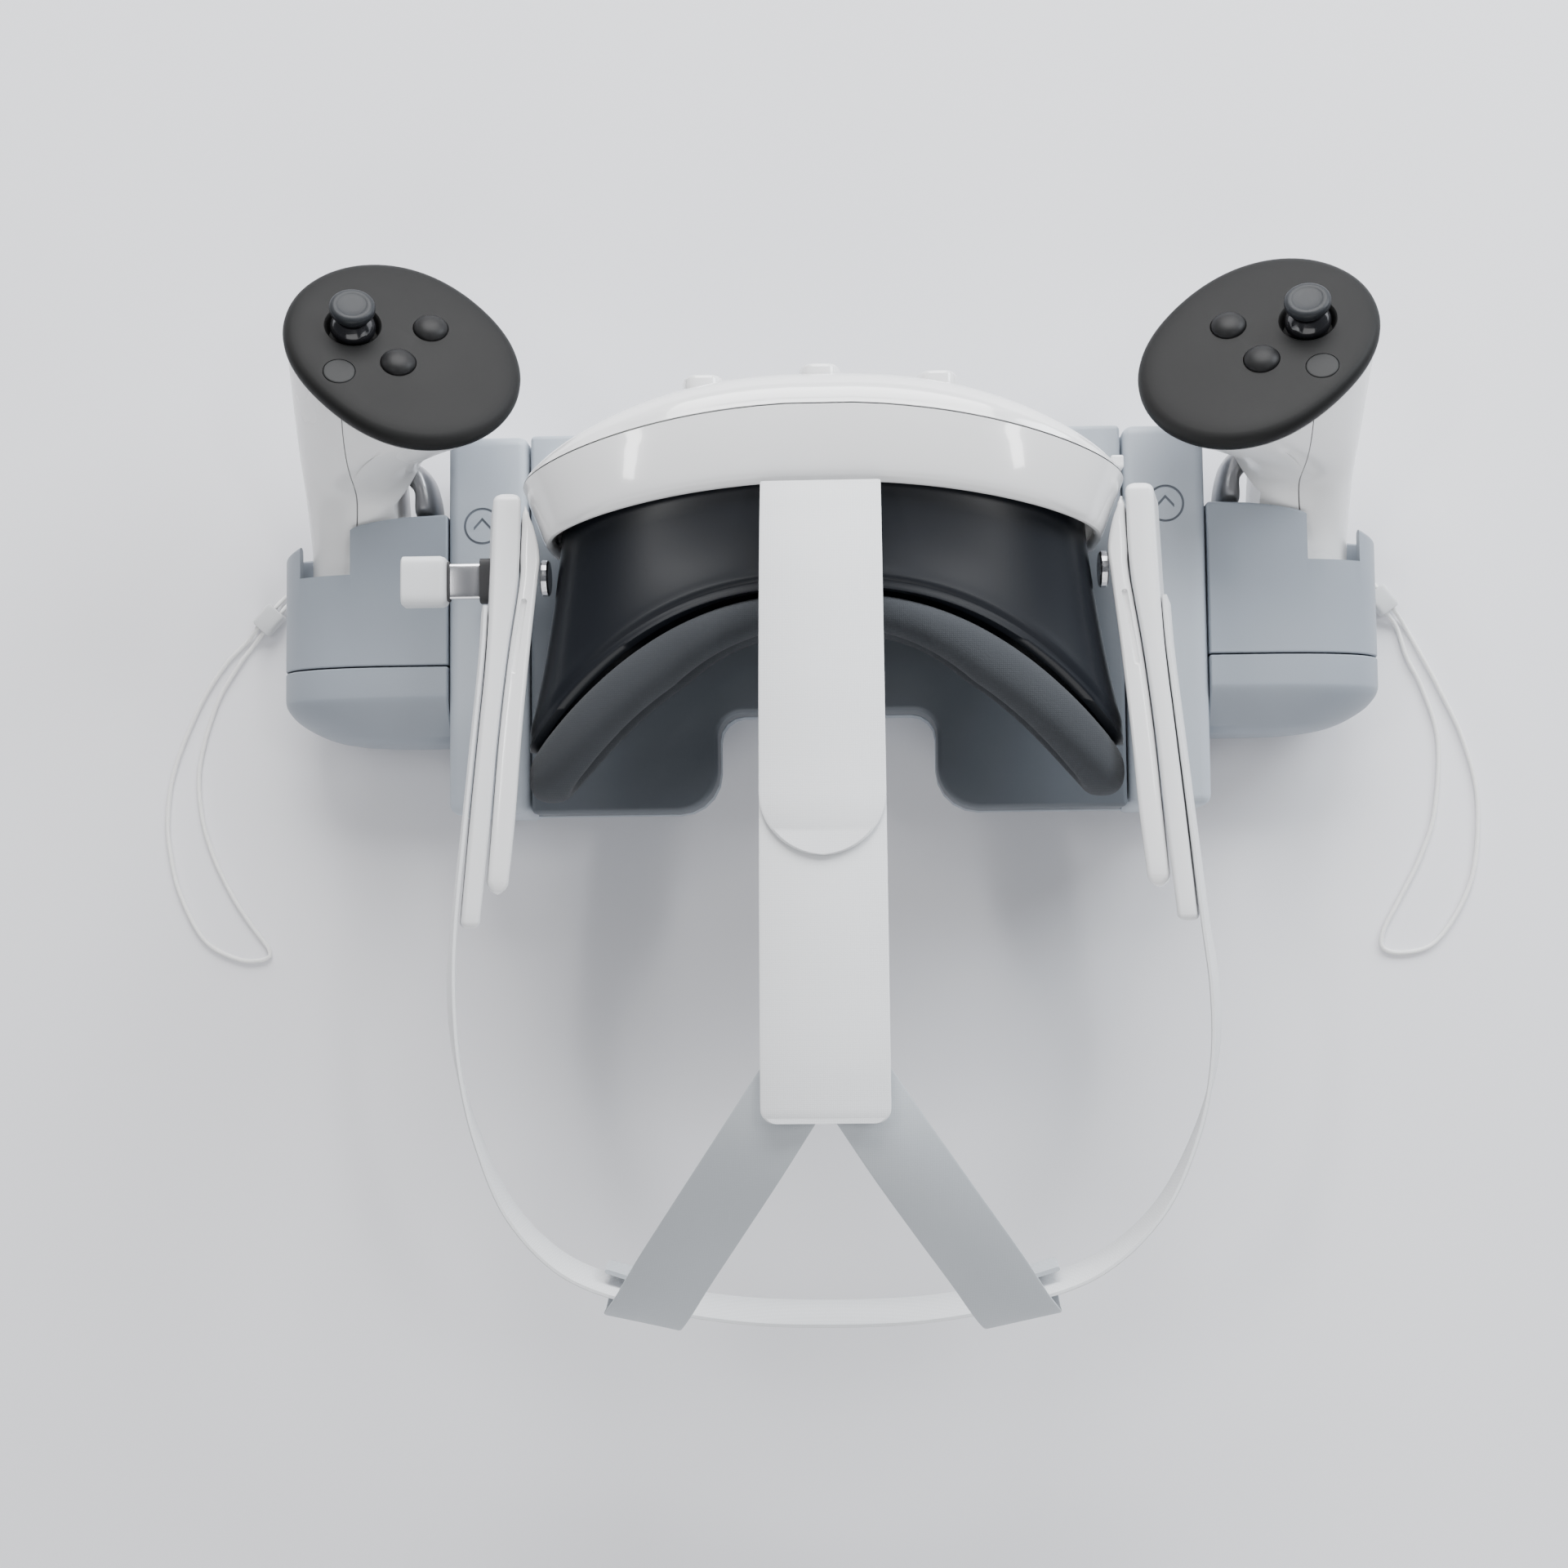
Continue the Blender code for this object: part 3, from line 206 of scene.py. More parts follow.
def new_object(name, bm, mat, sharp_degrees=35.0):
    bmesh.ops.remove_doubles(bm, verts=bm.verts, dist=1e-6)
    bmesh.ops.recalc_face_normals(bm, faces=bm.faces)
    mesh = bpy.data.meshes.new(name)
    bm.to_mesh(mesh)
    bm.free()
    if mat:
        mesh.materials.append(mat)
    smoothed(mesh, sharp_degrees)
    obj = bpy.data.objects.new(name, mesh)
    bpy.context.scene.collection.objects.link(obj)
    return obj


def apply_modifiers(obj):
    bpy.context.view_layer.update()
    depsgraph = bpy.context.evaluated_depsgraph_get()
    mesh = bpy.data.meshes.new_from_object(obj.evaluated_get(depsgraph), depsgraph=depsgraph)
    obj.modifiers.clear()
    old = obj.data
    obj.data = mesh
    bpy.data.meshes.remove(old)


def cut(obj, *cutters, sharp_degrees=35.0):
    """Takes cutters out of an object and keeps only the result."""
    cutter = new_object("cutter", join(*cutters), None)
    boolean = obj.modifiers.new("cut", "BOOLEAN")
    boolean.operation = "DIFFERENCE"
    boolean.solver = "EXACT"
    boolean.object = cutter
    apply_modifiers(obj)
    bpy.data.objects.remove(cutter, do_unlink=True)
    smoothed(obj.data, sharp_degrees)


def bevelled(obj, width, segments):
    """Rounds an object's sharp edges."""
    bevel = obj.modifiers.new("bevel", "BEVEL")
    bevel.width = width * MM
    bevel.segments = segments
    bevel.limit_method = "ANGLE"
    bevel.angle_limit = math.radians(30)
    apply_modifiers(obj)
    smoothed(obj.data, 40)


def settle(obj, body, nodes=()):
    """Puts a finished piece on its body, in place of its CAD nodes."""
    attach(obj, body)
    if nodes:
        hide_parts(*nodes)
    return obj


def piece(name, bm, mat, body, nodes=(), sharp_degrees=35.0):
    """A new object that needs no further shaping, on its body."""
    return settle(new_object(name, bm, MATS[mat], sharp_degrees), body, nodes)


# ---------------- materials

def add_node(tree, kind, inputs, **settings):
    """Adds a shader node. An input is a socket to link from, or a value to set."""
    node = tree.nodes.new("ShaderNode" + kind)
    for key, value in settings.items():
        setattr(node, key, value)
    for key, value in inputs.items():
        if isinstance(value, bpy.types.NodeSocket):
            tree.links.new(value, node.inputs[key])
        else:
            node.inputs[key].default_value = value
    return node


def mixed(tree, factor, color_a, color_b, blend_type="MIX"):
    inputs = {"Factor": factor, "A": color_a, "B": color_b}
    return add_node(tree, "Mix", inputs, data_type="RGBA", blend_type=blend_type).outputs["Result"]


def scaled(color, share, extra=0.0):
    return (*[min(1.0, c * share + extra) for c in color], 1)


def woven(tree, place, scale, color, height):
    """Crosses two sets of fine bands for the look of cloth. Returns its colour and its height."""
    bands = [add_node(tree, "TexWave", {"Scale": scale, "Distortion": 0.6, "Detail": 1.0, "Vector": place},
                      bands_direction=direction).outputs["Fac"] for direction in ("X", "Y")]
    both = add_node(tree, "Math", {0: bands[0], 1: bands[1]}, operation="MULTIPLY").outputs["Value"]
    total = add_node(tree, "Math", {0: both, 1: 0.6, 2: height}, operation="MULTIPLY_ADD")
    return mixed(tree, 0.10, color, both, "MULTIPLY"), total.outputs["Value"]


def painted_shade_ramp(tree, place, color_out, color, dark_y, light_y):
    """Paints shade: mixes towards a shade colour along the object's own Y."""
    axes = add_node(tree, "SeparateXYZ", {"Vector": place})
    ramp = add_node(tree, "MapRange", {"From Min": dark_y, "From Max": light_y, "Value": axes.outputs["Y"]},
                    interpolation_type="SMOOTHSTEP")
    return mixed(tree, ramp.outputs["Result"], (*color, 1), color_out)


def edge_worn(tree, color_out, color, amount):
    """Lightens the edges a little."""
    point = add_node(tree, "NewGeometry", {}).outputs["Pointiness"]
    ramp = add_node(tree, "MapRange", {"Value": point, "From Min": 0.5, "From Max": 0.62, "To Max": amount})
    return mixed(tree, ramp.outputs["Result"], color_out, scaled(color, 1.5, 0.02))


def material(name, color, roughness, metallic=0.0, variation=0.04, patch=35.0, grain=900.0,
             bump=0.03, rough_spread=0.05, coat=0.0, coat_roughness=0.05, sheen=0.0, weave=0.0,
             specular=0.5, edge=0.0, shade=None):
    """A procedural material: patches of colour and roughness, a fine grain, and a weave for cloth."""
    mat = bpy.data.materials.new(name)
    mat.use_nodes = True
    tree = mat.node_tree
    shader = tree.nodes["Principled BSDF"]
    for key, value in (("Metallic", metallic), ("Coat Weight", coat), ("Coat Roughness", coat_roughness),
                       ("Sheen Weight", sheen), ("Specular IOR Level", specular)):
        shader.inputs[key].default_value = value
    place = add_node(tree, "TexCoord", {}).outputs["Object"]
    cloud = add_node(tree, "TexNoise", {"Scale": patch, "Detail": 4.0, "Vector": place}).outputs["Fac"]
    color_out = mixed(tree, cloud, scaled(color, 1 - variation), scaled(color, 1 + variation))
    # Painted shade: the colour fades to a darker one along the object's Y, where shade falls.
    if shade:
        color_out = painted_shade_ramp(tree, place, color_out, *shade)
    gloss = add_node(tree, "MapRange", {"To Min": max(0.0, roughness - rough_spread),
                                        "To Max": roughness + rough_spread, "Value": cloud})
    height = add_node(tree, "TexNoise", {"Scale": grain, "Detail": 3.0, "Vector": place}).outputs["Fac"]
    if weave > 0.0:
        color_out, height = woven(tree, place, weave, color_out, height)
    if edge > 0.0:
        color_out = edge_worn(tree, color_out, color, edge)
    relief = add_node(tree, "Bump", {"Strength": bump, "Distance": 0.0004, "Height": height})
    tree.links.new(gloss.outputs["Result"], shader.inputs["Roughness"])
    tree.links.new(color_out, shader.inputs["Base Color"])
    tree.links.new(relief.outputs["Normal"], shader.inputs["Normal"])
    return mat


MATS = {
    "dock": material("dock_plastic", (0.265, 0.295, 0.335), 0.42, grain=1600, bump=0.05, specular=0.4,
                     edge=0.25),
    # Painted shade: the deck's colour fades to a darker one towards its rear, under the headset, where the
    # headset's shade falls.
    "deck": material("dock_deck_plastic_painted_shade", (0.36, 0.40, 0.45), 0.46, grain=1600, bump=0.05, specular=0.35,
                     edge=0.15, shade=((0.085, 0.096, 0.110), 0.020, 0.052)),
    # Painted light: a lighter copy of the dock plastic, as the blocks catch more of the light from the
    # front.
    "block": material("dock_block_plastic_painted_light", (0.42, 0.46, 0.51), 0.42, grain=1600, bump=0.05, specular=0.4,
                      edge=0.25),
    "rubber": material("rubber", (0.03, 0.03, 0.032), 0.8, grain=700, bump=0.12),
    "board": material("circuit_board", (0.02, 0.10, 0.05), 0.45, variation=0.25, patch=260, grain=500),
    "gloss": material("white_gloss", (0.82, 0.82, 0.825), 0.16, variation=0.012, patch=12, grain=60,
                      bump=0.004, rough_spread=0.03, coat=0.8, coat_roughness=0.04),
    "satin": material("white_satin", (0.74, 0.745, 0.755), 0.34, variation=0.015, patch=18, grain=1500,
                      coat=0.15, coat_roughness=0.25),
    "controller": material("controller_white", (0.80, 0.80, 0.80), 0.26, variation=0.012, patch=16,
                           grain=1400, bump=0.015, coat=0.3, coat_roughness=0.12),
    "interface": material("interface_black", (0.006, 0.0075, 0.011), 0.36, variation=0.10, patch=22,
                          grain=800, bump=0.02, coat=0.05, coat_roughness=0.25, specular=0.35),
    "foam": material("cushion_cloth", (0.050, 0.054, 0.060), 0.95, variation=0.08, patch=60, grain=1400,
                     bump=0.25, sheen=0.06, weave=520, specular=0.10),
    "lens": material("lens_glass", (0.02, 0.022, 0.03), 0.04, variation=0.05, patch=10, grain=30, bump=0,
                     rough_spread=0.02, coat=1, coat_roughness=0.02),
    "battery": material("battery_wrap", (0.06, 0.06, 0.07), 0.5, variation=0.15, patch=60),
    "steel": material("steel", (0.62, 0.62, 0.64), 0.26, 1.0, grain=500, rough_spread=0.06),
    "strap": material("strap_knit", (0.75, 0.76, 0.775), 0.62, variation=0.02, patch=25, grain=2200,
                      bump=0.10, sheen=0.15, weave=620, specular=0.35),
    # Painted shade: a darker copy of the strap knit, for the rear legs, which sit in shade.
    "strap_painted_shade": material("strap_knit_painted_shade", (0.47, 0.50, 0.53), 0.62, variation=0.03, patch=20,
                           grain=2200, bump=0.10, sheen=0.15, weave=620, specular=0.35),
    "face": material("face_rubberised", (0.010, 0.010, 0.010), 0.52, variation=0.06, patch=30, grain=2600,
                     bump=0.06, specular=0.13, edge=0.2),
    "button": material("button_grey", (0.009, 0.009, 0.0095), 0.44, variation=0.06, patch=80, grain=2000,
                       bump=0.04, specular=0.18),
    "menu": material("menu_grey", (0.018, 0.0185, 0.019), 0.46, variation=0.05, patch=80, grain=2000,
                     specular=0.16),
    "stick": material("stick_cap_rubber", (0.016, 0.018, 0.021), 0.42, variation=0.06, patch=120,
                      grain=2400, bump=0.08, specular=0.22),
    "stem": material("stick_stem_black", (0.012, 0.012, 0.014), 0.16, variation=0.10, patch=60, bump=0.01,
                     coat=0.4),
    "lever": material("lever_grey", (0.30, 0.30, 0.31), 0.30, 0.6, variation=0.06, patch=50, bump=0.02),
    "cord": material("cord_braid", (0.93, 0.93, 0.92), 0.7, patch=900, grain=3500, bump=0.25, sheen=0.3,
                     weave=1500),
    "bead": material("bead_plastic", (0.60, 0.61, 0.62), 0.38, patch=150, grain=1500, edge=0.2),
    "glass": material("window_glass", (0.012, 0.013, 0.016), 0.06, variation=0.08, patch=30, grain=40,
                      bump=0, rough_spread=0.02, coat=1, coat_roughness=0.02),
    # Painted shade: the dark inlay in the engraved marks stands for the shade in their grooves.
    "mark": material("mark_painted_shade", (0.13, 0.145, 0.17), 0.5, variation=0.05, patch=80),
    # Painted shade: a dark colour for the port's recess and the gap at the plug's end.
    "slit": material("slit_painted_shade", (0.02, 0.02, 0.022), 0.6, variation=0.1, patch=80),
}

CAD_MATERIALS = {
    "dock_underside": "dock", "dock_board": "board", "dock_foot_left": "rubber",
    "dock_foot_right": "rubber", "optics_frame": "interface", "main_board": "board",
    "battery_pack": "battery", "lens_left": "lens", "lens_right": "lens", "ipd_wheel": "interface",
    "power_button": "satin", "arm_pin_left": "steel", "arm_pin_right": "steel",
    "grip_button_left": "lever", "grip_button_right": "lever",
}


def paint_cad():
    """Gives the CAD nodes that stay in the look their materials."""
    for name, key in CAD_MATERIALS.items():
        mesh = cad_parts[name].data
        mesh.materials.clear()
        mesh.materials.append(MATS[key])


# ---------------- stage

CAMERA_PLACE = (0.0093, -0.1004, 0.7571)
CAMERA_RIGHT = (0.9994, -0.0111, -0.0341)
CAMERA_UP = (0.0134, 0.9976, 0.0678)


def make_camera():
    data = bpy.data.cameras.new("camera")
    data.lens = 50.0
    data.sensor_width = 36.0
    right = Vector(CAMERA_RIGHT).normalized()
    up = Vector(CAMERA_UP)
    up = (up - right * right.dot(up)).normalized()
    back = right.cross(up)
    camera = bpy.data.objects.new("camera", data)
    turn = Matrix((right, up, back)).transposed().to_4x4()
    camera.matrix_world = Matrix.Translation(CAMERA_PLACE) @ turn
    bpy.context.scene.collection.objects.link(camera)
    bpy.context.scene.camera = camera


def area_light(name, place, target, size, power, color=(1.0, 1.0, 1.0), size_y=None):
    data = bpy.data.lights.new(name, "AREA")
    data.energy = power
    data.color = color
    data.size = size
    if size_y:
        data.shape = "RECTANGLE"
        data.size_y = size_y
    light = bpy.data.objects.new(name, data)
    light.location = place
    light.rotation_euler = (Vector(target) - Vector(place)).to_track_quat("-Z", "Y").to_euler()
    bpy.context.scene.collection.objects.link(light)


def make_stage():
    floor_bm = bmesh.new()
    bmesh.ops.create_grid(floor_bm, x_segments=1, y_segments=1, size=3.0)
    floor = new_object("floor", floor_bm, material("floor_paper", (0.82, 0.82, 0.85), 0.9, variation=0.01,
                                                   patch=2, grain=300, bump=0.01, specular=0.1))
    floor.location.z = -0.0002
    world = bpy.data.worlds.new("studio")
    world.use_nodes = True
    world.node_tree.nodes["Background"].inputs["Color"].default_value = (0.80, 0.84, 0.92, 1)
    world.node_tree.nodes["Background"].inputs["Strength"].default_value = 0.20
    bpy.context.scene.world = world
    area_light("key", (0.05, 1.55, 0.95), (0.0, 0.0, 0.05), 1.3, 66.0)
    area_light("gleam_left", (-0.42, 0.10, 1.05), (-0.08, 0.04, 0.12), 0.30, 1.6, size_y=0.07)
    area_light("gleam_right", (0.42, 0.12, 1.05), (0.08, 0.04, 0.12), 0.30, 1.6, size_y=0.07)
    area_light("back_soft", (0.0, -1.5, 0.9), (0.0, -0.2, 0.0), 1.8, 22.0)
    area_light("fill_left", (-1.2, 1.0, 0.7), (-0.05, 0.0, 0.05), 0.8, 4.0, (1.0, 0.98, 0.97))
    area_light("fill_right", (1.2, 1.0, 0.8), (0.05, 0.0, 0.05), 0.8, 30.0, (0.90, 0.95, 1.0))


# ---------------- dock

DECK_FRONT = 65.5
DECK_REAR = -60.5
DECK_SIDE = 97.5
POD_OUTER = 184.0
POD_LOW = 2.0
POD_TOP = 46.0
MARK_CENTRES = {-1: (-113.6, 35.3), 1: (111.9, 39)}


def deck_outline():
    """The deck from above: a rectangle with a nose-shaped notch in its rear edge."""
    flare = arc((-50.0, -46.5), 14.0, -90, 0, 16)
    shoulder = arc((-28.0, -36.0), 8.0, 180, 90, 12)
    left = [(-DECK_SIDE, DECK_FRONT), (-DECK_SIDE, DECK_REAR)] + flare + shoulder
    return left + [(-x, y) for x, y in reversed(left)]


def prism(outline, low, high):
    return loft([[mm(x, y, z) for x, y in outline] for z in (low, high)])


def make_dock():
    # The deck's material carries painted shade towards its rear.
    deck = new_object("deck_top", prism(deck_outline(), 29.3, POD_TOP), MATS["deck"])
    bevelled(deck, 1.6, 4)
    settle(deck, "dock", ["dock_deck"])
    for side, label in SIDES:
        # The blocks' lighter material is painted light.
        block = new_object("block_" + label,
                           side_box(side, (98.3, 125), (DECK_REAR, DECK_FRONT), (2.3, POD_TOP), 3.6, 6),
                           MATS["block"])
        centre = MARK_CENTRES[side]
        cut(block, ring_solid(centre, 6.2, 5.4, 45.5, 47.0), chevron(centre, 45.5, 47.0))
        settle(block, "dock", ["dock_block_" + label])
        # A dark inlay in the groove, as painted shade in the engraving.
        inlay = join(ring_solid(centre, 6.15, 5.45, 45.35, 45.7), chevron(centre, 45.35, 45.7))
        piece("mark_" + label, inlay, "mark", "dock", ())
        make_pod(side, label)


def ring_solid(centre, outer, inner, low, high):
    corners = ((outer, low), (outer, high), (inner, high), (inner, low))
    return loft([[mm(centre[0] + radius * math.cos(angle), centre[1] + radius * math.sin(angle), height)
                  for angle in circle_angles(48)] for radius, height in corners], closed_loop=True)


def chevron(centre, low, high):
    """A plain arrow that points at the pod's mouth."""
    outline = [(-2.9, 1.5), (0, -1.7), (2.9, 1.5), (2.9, 0.3), (0, -2.9), (-2.9, 0.3)]
    return prism([(centre[0] + x, centre[1] - y) for x, y in outline], low, high)


def pod_section(side, y, inset, outer=POD_OUTER, low=POD_LOW, top=POD_TOP):
    """One outline of a pod, flat on the side by the block. Its Y is a number or depends on X."""
    x_in = 125.3 + inset
    x_out = outer - inset
    middle = 139.3
    z_mid = (top + low) / 2
    half = (top - low) / 2 - inset
    steps = 36
    points = [(x_in + 0.5, z_mid - half), (middle, z_mid - half)]
    for k in range(1, steps):
        angle = math.radians(-90 + 180 * k / steps)
        c = abs(math.cos(angle)) ** (2 / 2.4)
        s = signed_power(math.sin(angle), 2 / 2.4)
        points.append((middle + (x_out - middle) * c, z_mid + half * s))
    points += [(middle, z_mid + half), (x_in + 0.5, z_mid + half), (x_in, z_mid + half - 0.5),
               (x_in, z_mid - half + 0.5)]
    return [mm(side * x, y(x) if callable(y) else y, z) for x, z in points]


def mouth_y(x):
    reach = max(x - 127.0, 0.0) / 57.0
    return 39.5 - 11.5 * reach ** 2


def make_pod(side, label):
    rings = [pod_section(side, -10.7, 0.35), pod_section(side, -10.3, 0.0),
             pod_section(side, lambda x: (mouth_y(x) - 11.7) / 2, 0.0)]
    lip = [(1.2 * (1 - math.cos(math.radians(18 * k))), 1.2 * (1 - math.sin(math.radians(18 * k))))
           for k in range(6)]
    for inset, depth in lip + [(2.4, 0.0), (3.3, 0.8), (3.5, 2.0)]:
        rings.append(pod_section(side, lambda x: mouth_y(x) - depth, inset))
    rings.append(pod_section(side, -10.7, 3.5))
    sleeve = new_object("pod_sleeve_" + label, loft(rings, closed_loop=True), MATS["dock"])
    cut(sleeve, side_box(side, (138, 176.5), (20, 43), (30, 44.8)))
    settle(sleeve, "dock", ["pod_" + label])
    rows = [(-20, 184, 2, 46), (-21.8, 183.8, 2.3, 45.8), (-24.4, 182.6, 3.6, 44.4),
            (-28.2, 179, 6, 41.5), (-32, 172.6, 8.8, 38), (-34.4, 166, 10.6, 35.8),
            (-35.7, 158.5, 12.4, 33.6)]
    outside = [pod_section(side, -11.3, 0.35), pod_section(side, -11.7, 0.0)]
    outside += [pod_section(side, y, 0.0, outer, low, top) for y, outer, low, top in smooth_rows(rows, 22)]
    outside.append(pod_section(side, -36.0, 0.0, 153.5, 13.6, 32.4))
    hollow = [pod_section(side, y, inset)
              for y, inset in ((-10.0, 3.5), (-20.0, 3.8), (-26.0, 6.5), (-29.0, 10.0))]
    end = new_object("pod_end_" + label, loft(outside), MATS["dock"])
    cut(end, loft(hollow))
    settle(end, "dock", ["pod_cap_" + label])


# ---------------- visor

VISOR_WIDE = 91.5
VISOR_Z = 90.0
VISOR_POINTS = 168
WHEEL_CENTRE = (-17.5, 57.6, 57.6)


def rear_edge_y(x):
    return 31.0 - 0.00185 * x * x


def seam_y(x):
    return 53.3 - 0.00215 * x * x


def front_y(x):
    return 66.4 - 27.6 * min(abs(x) / VISOR_WIDE, 1.0) ** 2.4


def visor_ring(half_width, half_height, y_of_x, power=3.6):
    outline = superellipse(half_width, half_height, power, VISOR_POINTS)
    return [mm(x, y_of_x(x), VISOR_Z + z) for x, z in outline]


def shell_ring(half_width, half_height, share, shift=0.0):
    return visor_ring(half_width, half_height,
                      lambda x: rear_edge_y(x) + (seam_y(x) - rear_edge_y(x)) * share + shift)


def cover_ring(half_width, half_height, share, shift=0.0):
    return visor_ring(half_width, half_height,
                      lambda x: seam_y(x) + (front_y(x) - seam_y(x)) * share + shift)


def bowl(outside, inside):
    """A cup from its rim to its closed end and back, with the end filled by upright strips."""
    rings = outside + inside
    turn = len(outside) - 1
    bm, rows = skinned(rings, [(i, (i + 1) % len(rings)) for i in range(len(rings)) if i != turn])
    count = len(rings[0])
    for row in (rows[turn], rows[turn + 1]):
        for k in range(count // 2 - 1):
            bm.faces.new((row[k], row[k + 1], row[count - 2 - k], row[count - 1 - k]))
    return bm


def pill(x, half_width, half_height, stations):
    return loft([[mm(x + px, y, 91.0 + pz)
                  for px, pz in superellipse(half_width - inset, half_height - inset, 4.0, 56)]
                 for inset, y in stations])


def make_visor():
    rows = smooth_rows([(84.6, 40.2, 0.01), (85.6, 41.8, 0.12), (87.6, 42.8, 0.42), (89.8, 43.3, 0.74),
                        (91.5, 43.4, 0.985)], 22)
    rings = [shell_ring(82.6, 38.2, 0.02, 0.2), shell_ring(83.2, 38.8, 0.0, 0.0),
             shell_ring(84.0, 39.6, 0.0, -0.1)]
    rings += [shell_ring(*row) for row in rows]
    rings += [shell_ring(91.1, 43.0, 1.0, -0.05), shell_ring(88.9, 40.9, 1.0, -0.05),
              shell_ring(86.5, 40.0, 0.55), shell_ring(82.4, 38.0, 0.10)]
    piece("visor_body", loft(rings, closed_loop=True), "gloss", "headset", ["visor_shell"])
    rows = smooth_rows([(91.4, 43.3, 0.03), (90.4, 41.9, 0.35), (86.7, 37.6, 0.70), (77.5, 29.4, 0.93),
                        (61.5, 17.4, 1.0)], 26)
    outside = [cover_ring(91.0, 42.9, 0.0, 0.3)] + [cover_ring(*row) for row in rows]
    inside = [cover_ring(60.5, 16.4, 1.0, -3.0), cover_ring(75.5, 27.4, 0.88, -2.0),
              cover_ring(85.5, 35.9, 0.40), cover_ring(88.9, 40.9, 0.0, 0.3)]
    cover = new_object("visor_front", bowl(outside, inside), MATS["gloss"])
    holes = []
    for label, x in (("left", -35.0), ("centre", 0.0), ("right", 35.0)):
        front = front_y(x) + 2.2
        back = front_y(abs(x) + 7.0) - 2.6
        holes.append(pill(x, 7.3, 29.3, ((0.0, back - 12), (0.0, front + 12))))
        rim = pill(x, 7.0, 29.0, ((0.0, back), (0.0, front - 1.3), (0.2, front - 0.6),
                                  (0.6, front - 0.15), (1.3, front), (2.2, front)))
        piece("window_frame_" + label, rim, "gloss", "headset", ["camera_pod_" + label])
        glass = pill(x, 5.0, 26.6, ((0.0, front - 0.6), (0.0, front + 0.12), (0.25, front + 0.25)))
        piece("window_glass_" + label, glass, "glass", "headset", ())
    wheel_hole = turned([(6.6, -4.5), (6.6, 4.5)], mm(*WHEEL_CENTRE), (1, 0, 0), 40)
    key_hole = box(mm(80, 40, 79), mm(100, 44.6, 97))
    holes += [wheel_hole, key_hole]
    cut(cover, *holes)
    settle(cover, "headset", ["front_cover"])


# ---------------- face piece

PAD_POINTS = 200
PAD_WIDE = 84.0
PAD_HIGH = 29.5


def pad_path(count):
    """The middle line of the face cushion: a wide ring with an arch over the nose."""
    path = []
    for x, z in superellipse(PAD_WIDE, PAD_HIGH, 2.5, count):
        y = -4.3 - 45.0 * (abs(x) / PAD_WIDE) ** 2.3
        if z < 0:
            z += 17.0 * math.exp(-(x / 17.0) ** 2)
            y += 7.0 * abs(z) / PAD_HIGH
        path.append(mm(x, y, VISOR_Z + 0.5 + z))
    return path


def funnel_ring(half_width, half_height, depth):
    return [mm(x, min(rear_edge_y(x) + depth, 33.2), VISOR_Z + z)
            for x, z in superellipse(half_width, half_height, 3.2, PAD_POINTS)]


def spread(ring, amount):
    """Moves a ring outwards from the middle of the visor."""
    result = []
    for point in ring:
        away = Vector((point.x, 0, point.z - VISOR_Z * MM)).normalized()
        result.append(point + away * amount * MM)
    return result


def pad_edge(outward, forward):
    return [point + mm(0, forward, 0) for point in spread(pad_path(PAD_POINTS), outward)]


def between(ring_a, ring_b, share):
    return [a.lerp(b, share) for a, b in zip(ring_a, ring_b)]


def make_interface():
    front = funnel_ring(79.6, 36.6, 9.0)
    waist = funnel_ring(80.4, 36.4, -2.0)
    rear = pad_edge(6.6, 7.2)
    waist_inside = funnel_ring(78.6, 34.6, -2.0)
    rear_inside = pad_edge(3.4, 8.4)
    rings = [front, waist]
    for share, lift in ((0.12, -0.3), (0.25, -0.5), (0.38, -0.6), (0.5, -0.6), (0.6, -0.5), (0.70, -0.3),
                        (0.80, 0), (0.87, 0.3), (0.91, 0.55), (0.94, 0.6), (0.965, 0.4), (0.985, 0.2)):
        rings.append(spread(between(waist, rear, share), lift))
    rings += [rear, pad_edge(6.9, 6.0), pad_edge(6.7, 4.9), pad_edge(3.6, 4.9), rear_inside,
              between(waist_inside, rear_inside, 0.5), waist_inside, funnel_ring(77.8, 34.8, 9.0)]
    piece("face_funnel", loft(rings, closed_loop=True), "interface", "face_piece", ["facial_interface"],
          50)


def cushion_tube(count, sides):
    path = pad_path(count)
    rings = []
    for i in range(count):
        along = (path[(i + 1) % count] - path[i - 1]).normalized()
        back = (Vector((0, -1, 0)) - along * along.dot(Vector((0, -1, 0)))).normalized()
        across = along.cross(back)
        extra = 2.4 * min(1.0, (path[i].x / (50.0 * MM)) ** 2)
        centre = path[i] - mm(0, 1, 0) + back * extra * MM
        rings.append([centre + back * a + across * b
                      for a, b in superellipse((5.0 + extra) * MM, 6.9 * MM, 2.5, sides)])
    return loft(rings, closed_loop=True)


def inflate(obj, pressure, limit, frames=20):
    """Lets cloth pressure fill a pad, then keeps the result within a limit of where it began."""
    start = [vert.co.copy() for vert in obj.data.vertices]
    cloth = obj.modifiers.new("cloth", "CLOTH")
    cloth.settings.effector_weights.gravity = 0.0
    cloth.settings.use_pressure = True
    cloth.settings.uniform_pressure_force = pressure
    cloth.settings.tension_stiffness = 15.0
    cloth.settings.compression_stiffness = 15.0
    cloth.settings.bending_stiffness = 0.5
    cloth.settings.quality = 6
    scene = bpy.context.scene
    for step in range(1, frames + 1):
        scene.frame_set(step)
    apply_modifiers(obj)
    scene.frame_set(1)
    for vert, first in zip(obj.data.vertices, start):
        move = vert.co - first
        if move.length > limit * MM:
            vert.co = first + move.normalized() * limit * MM


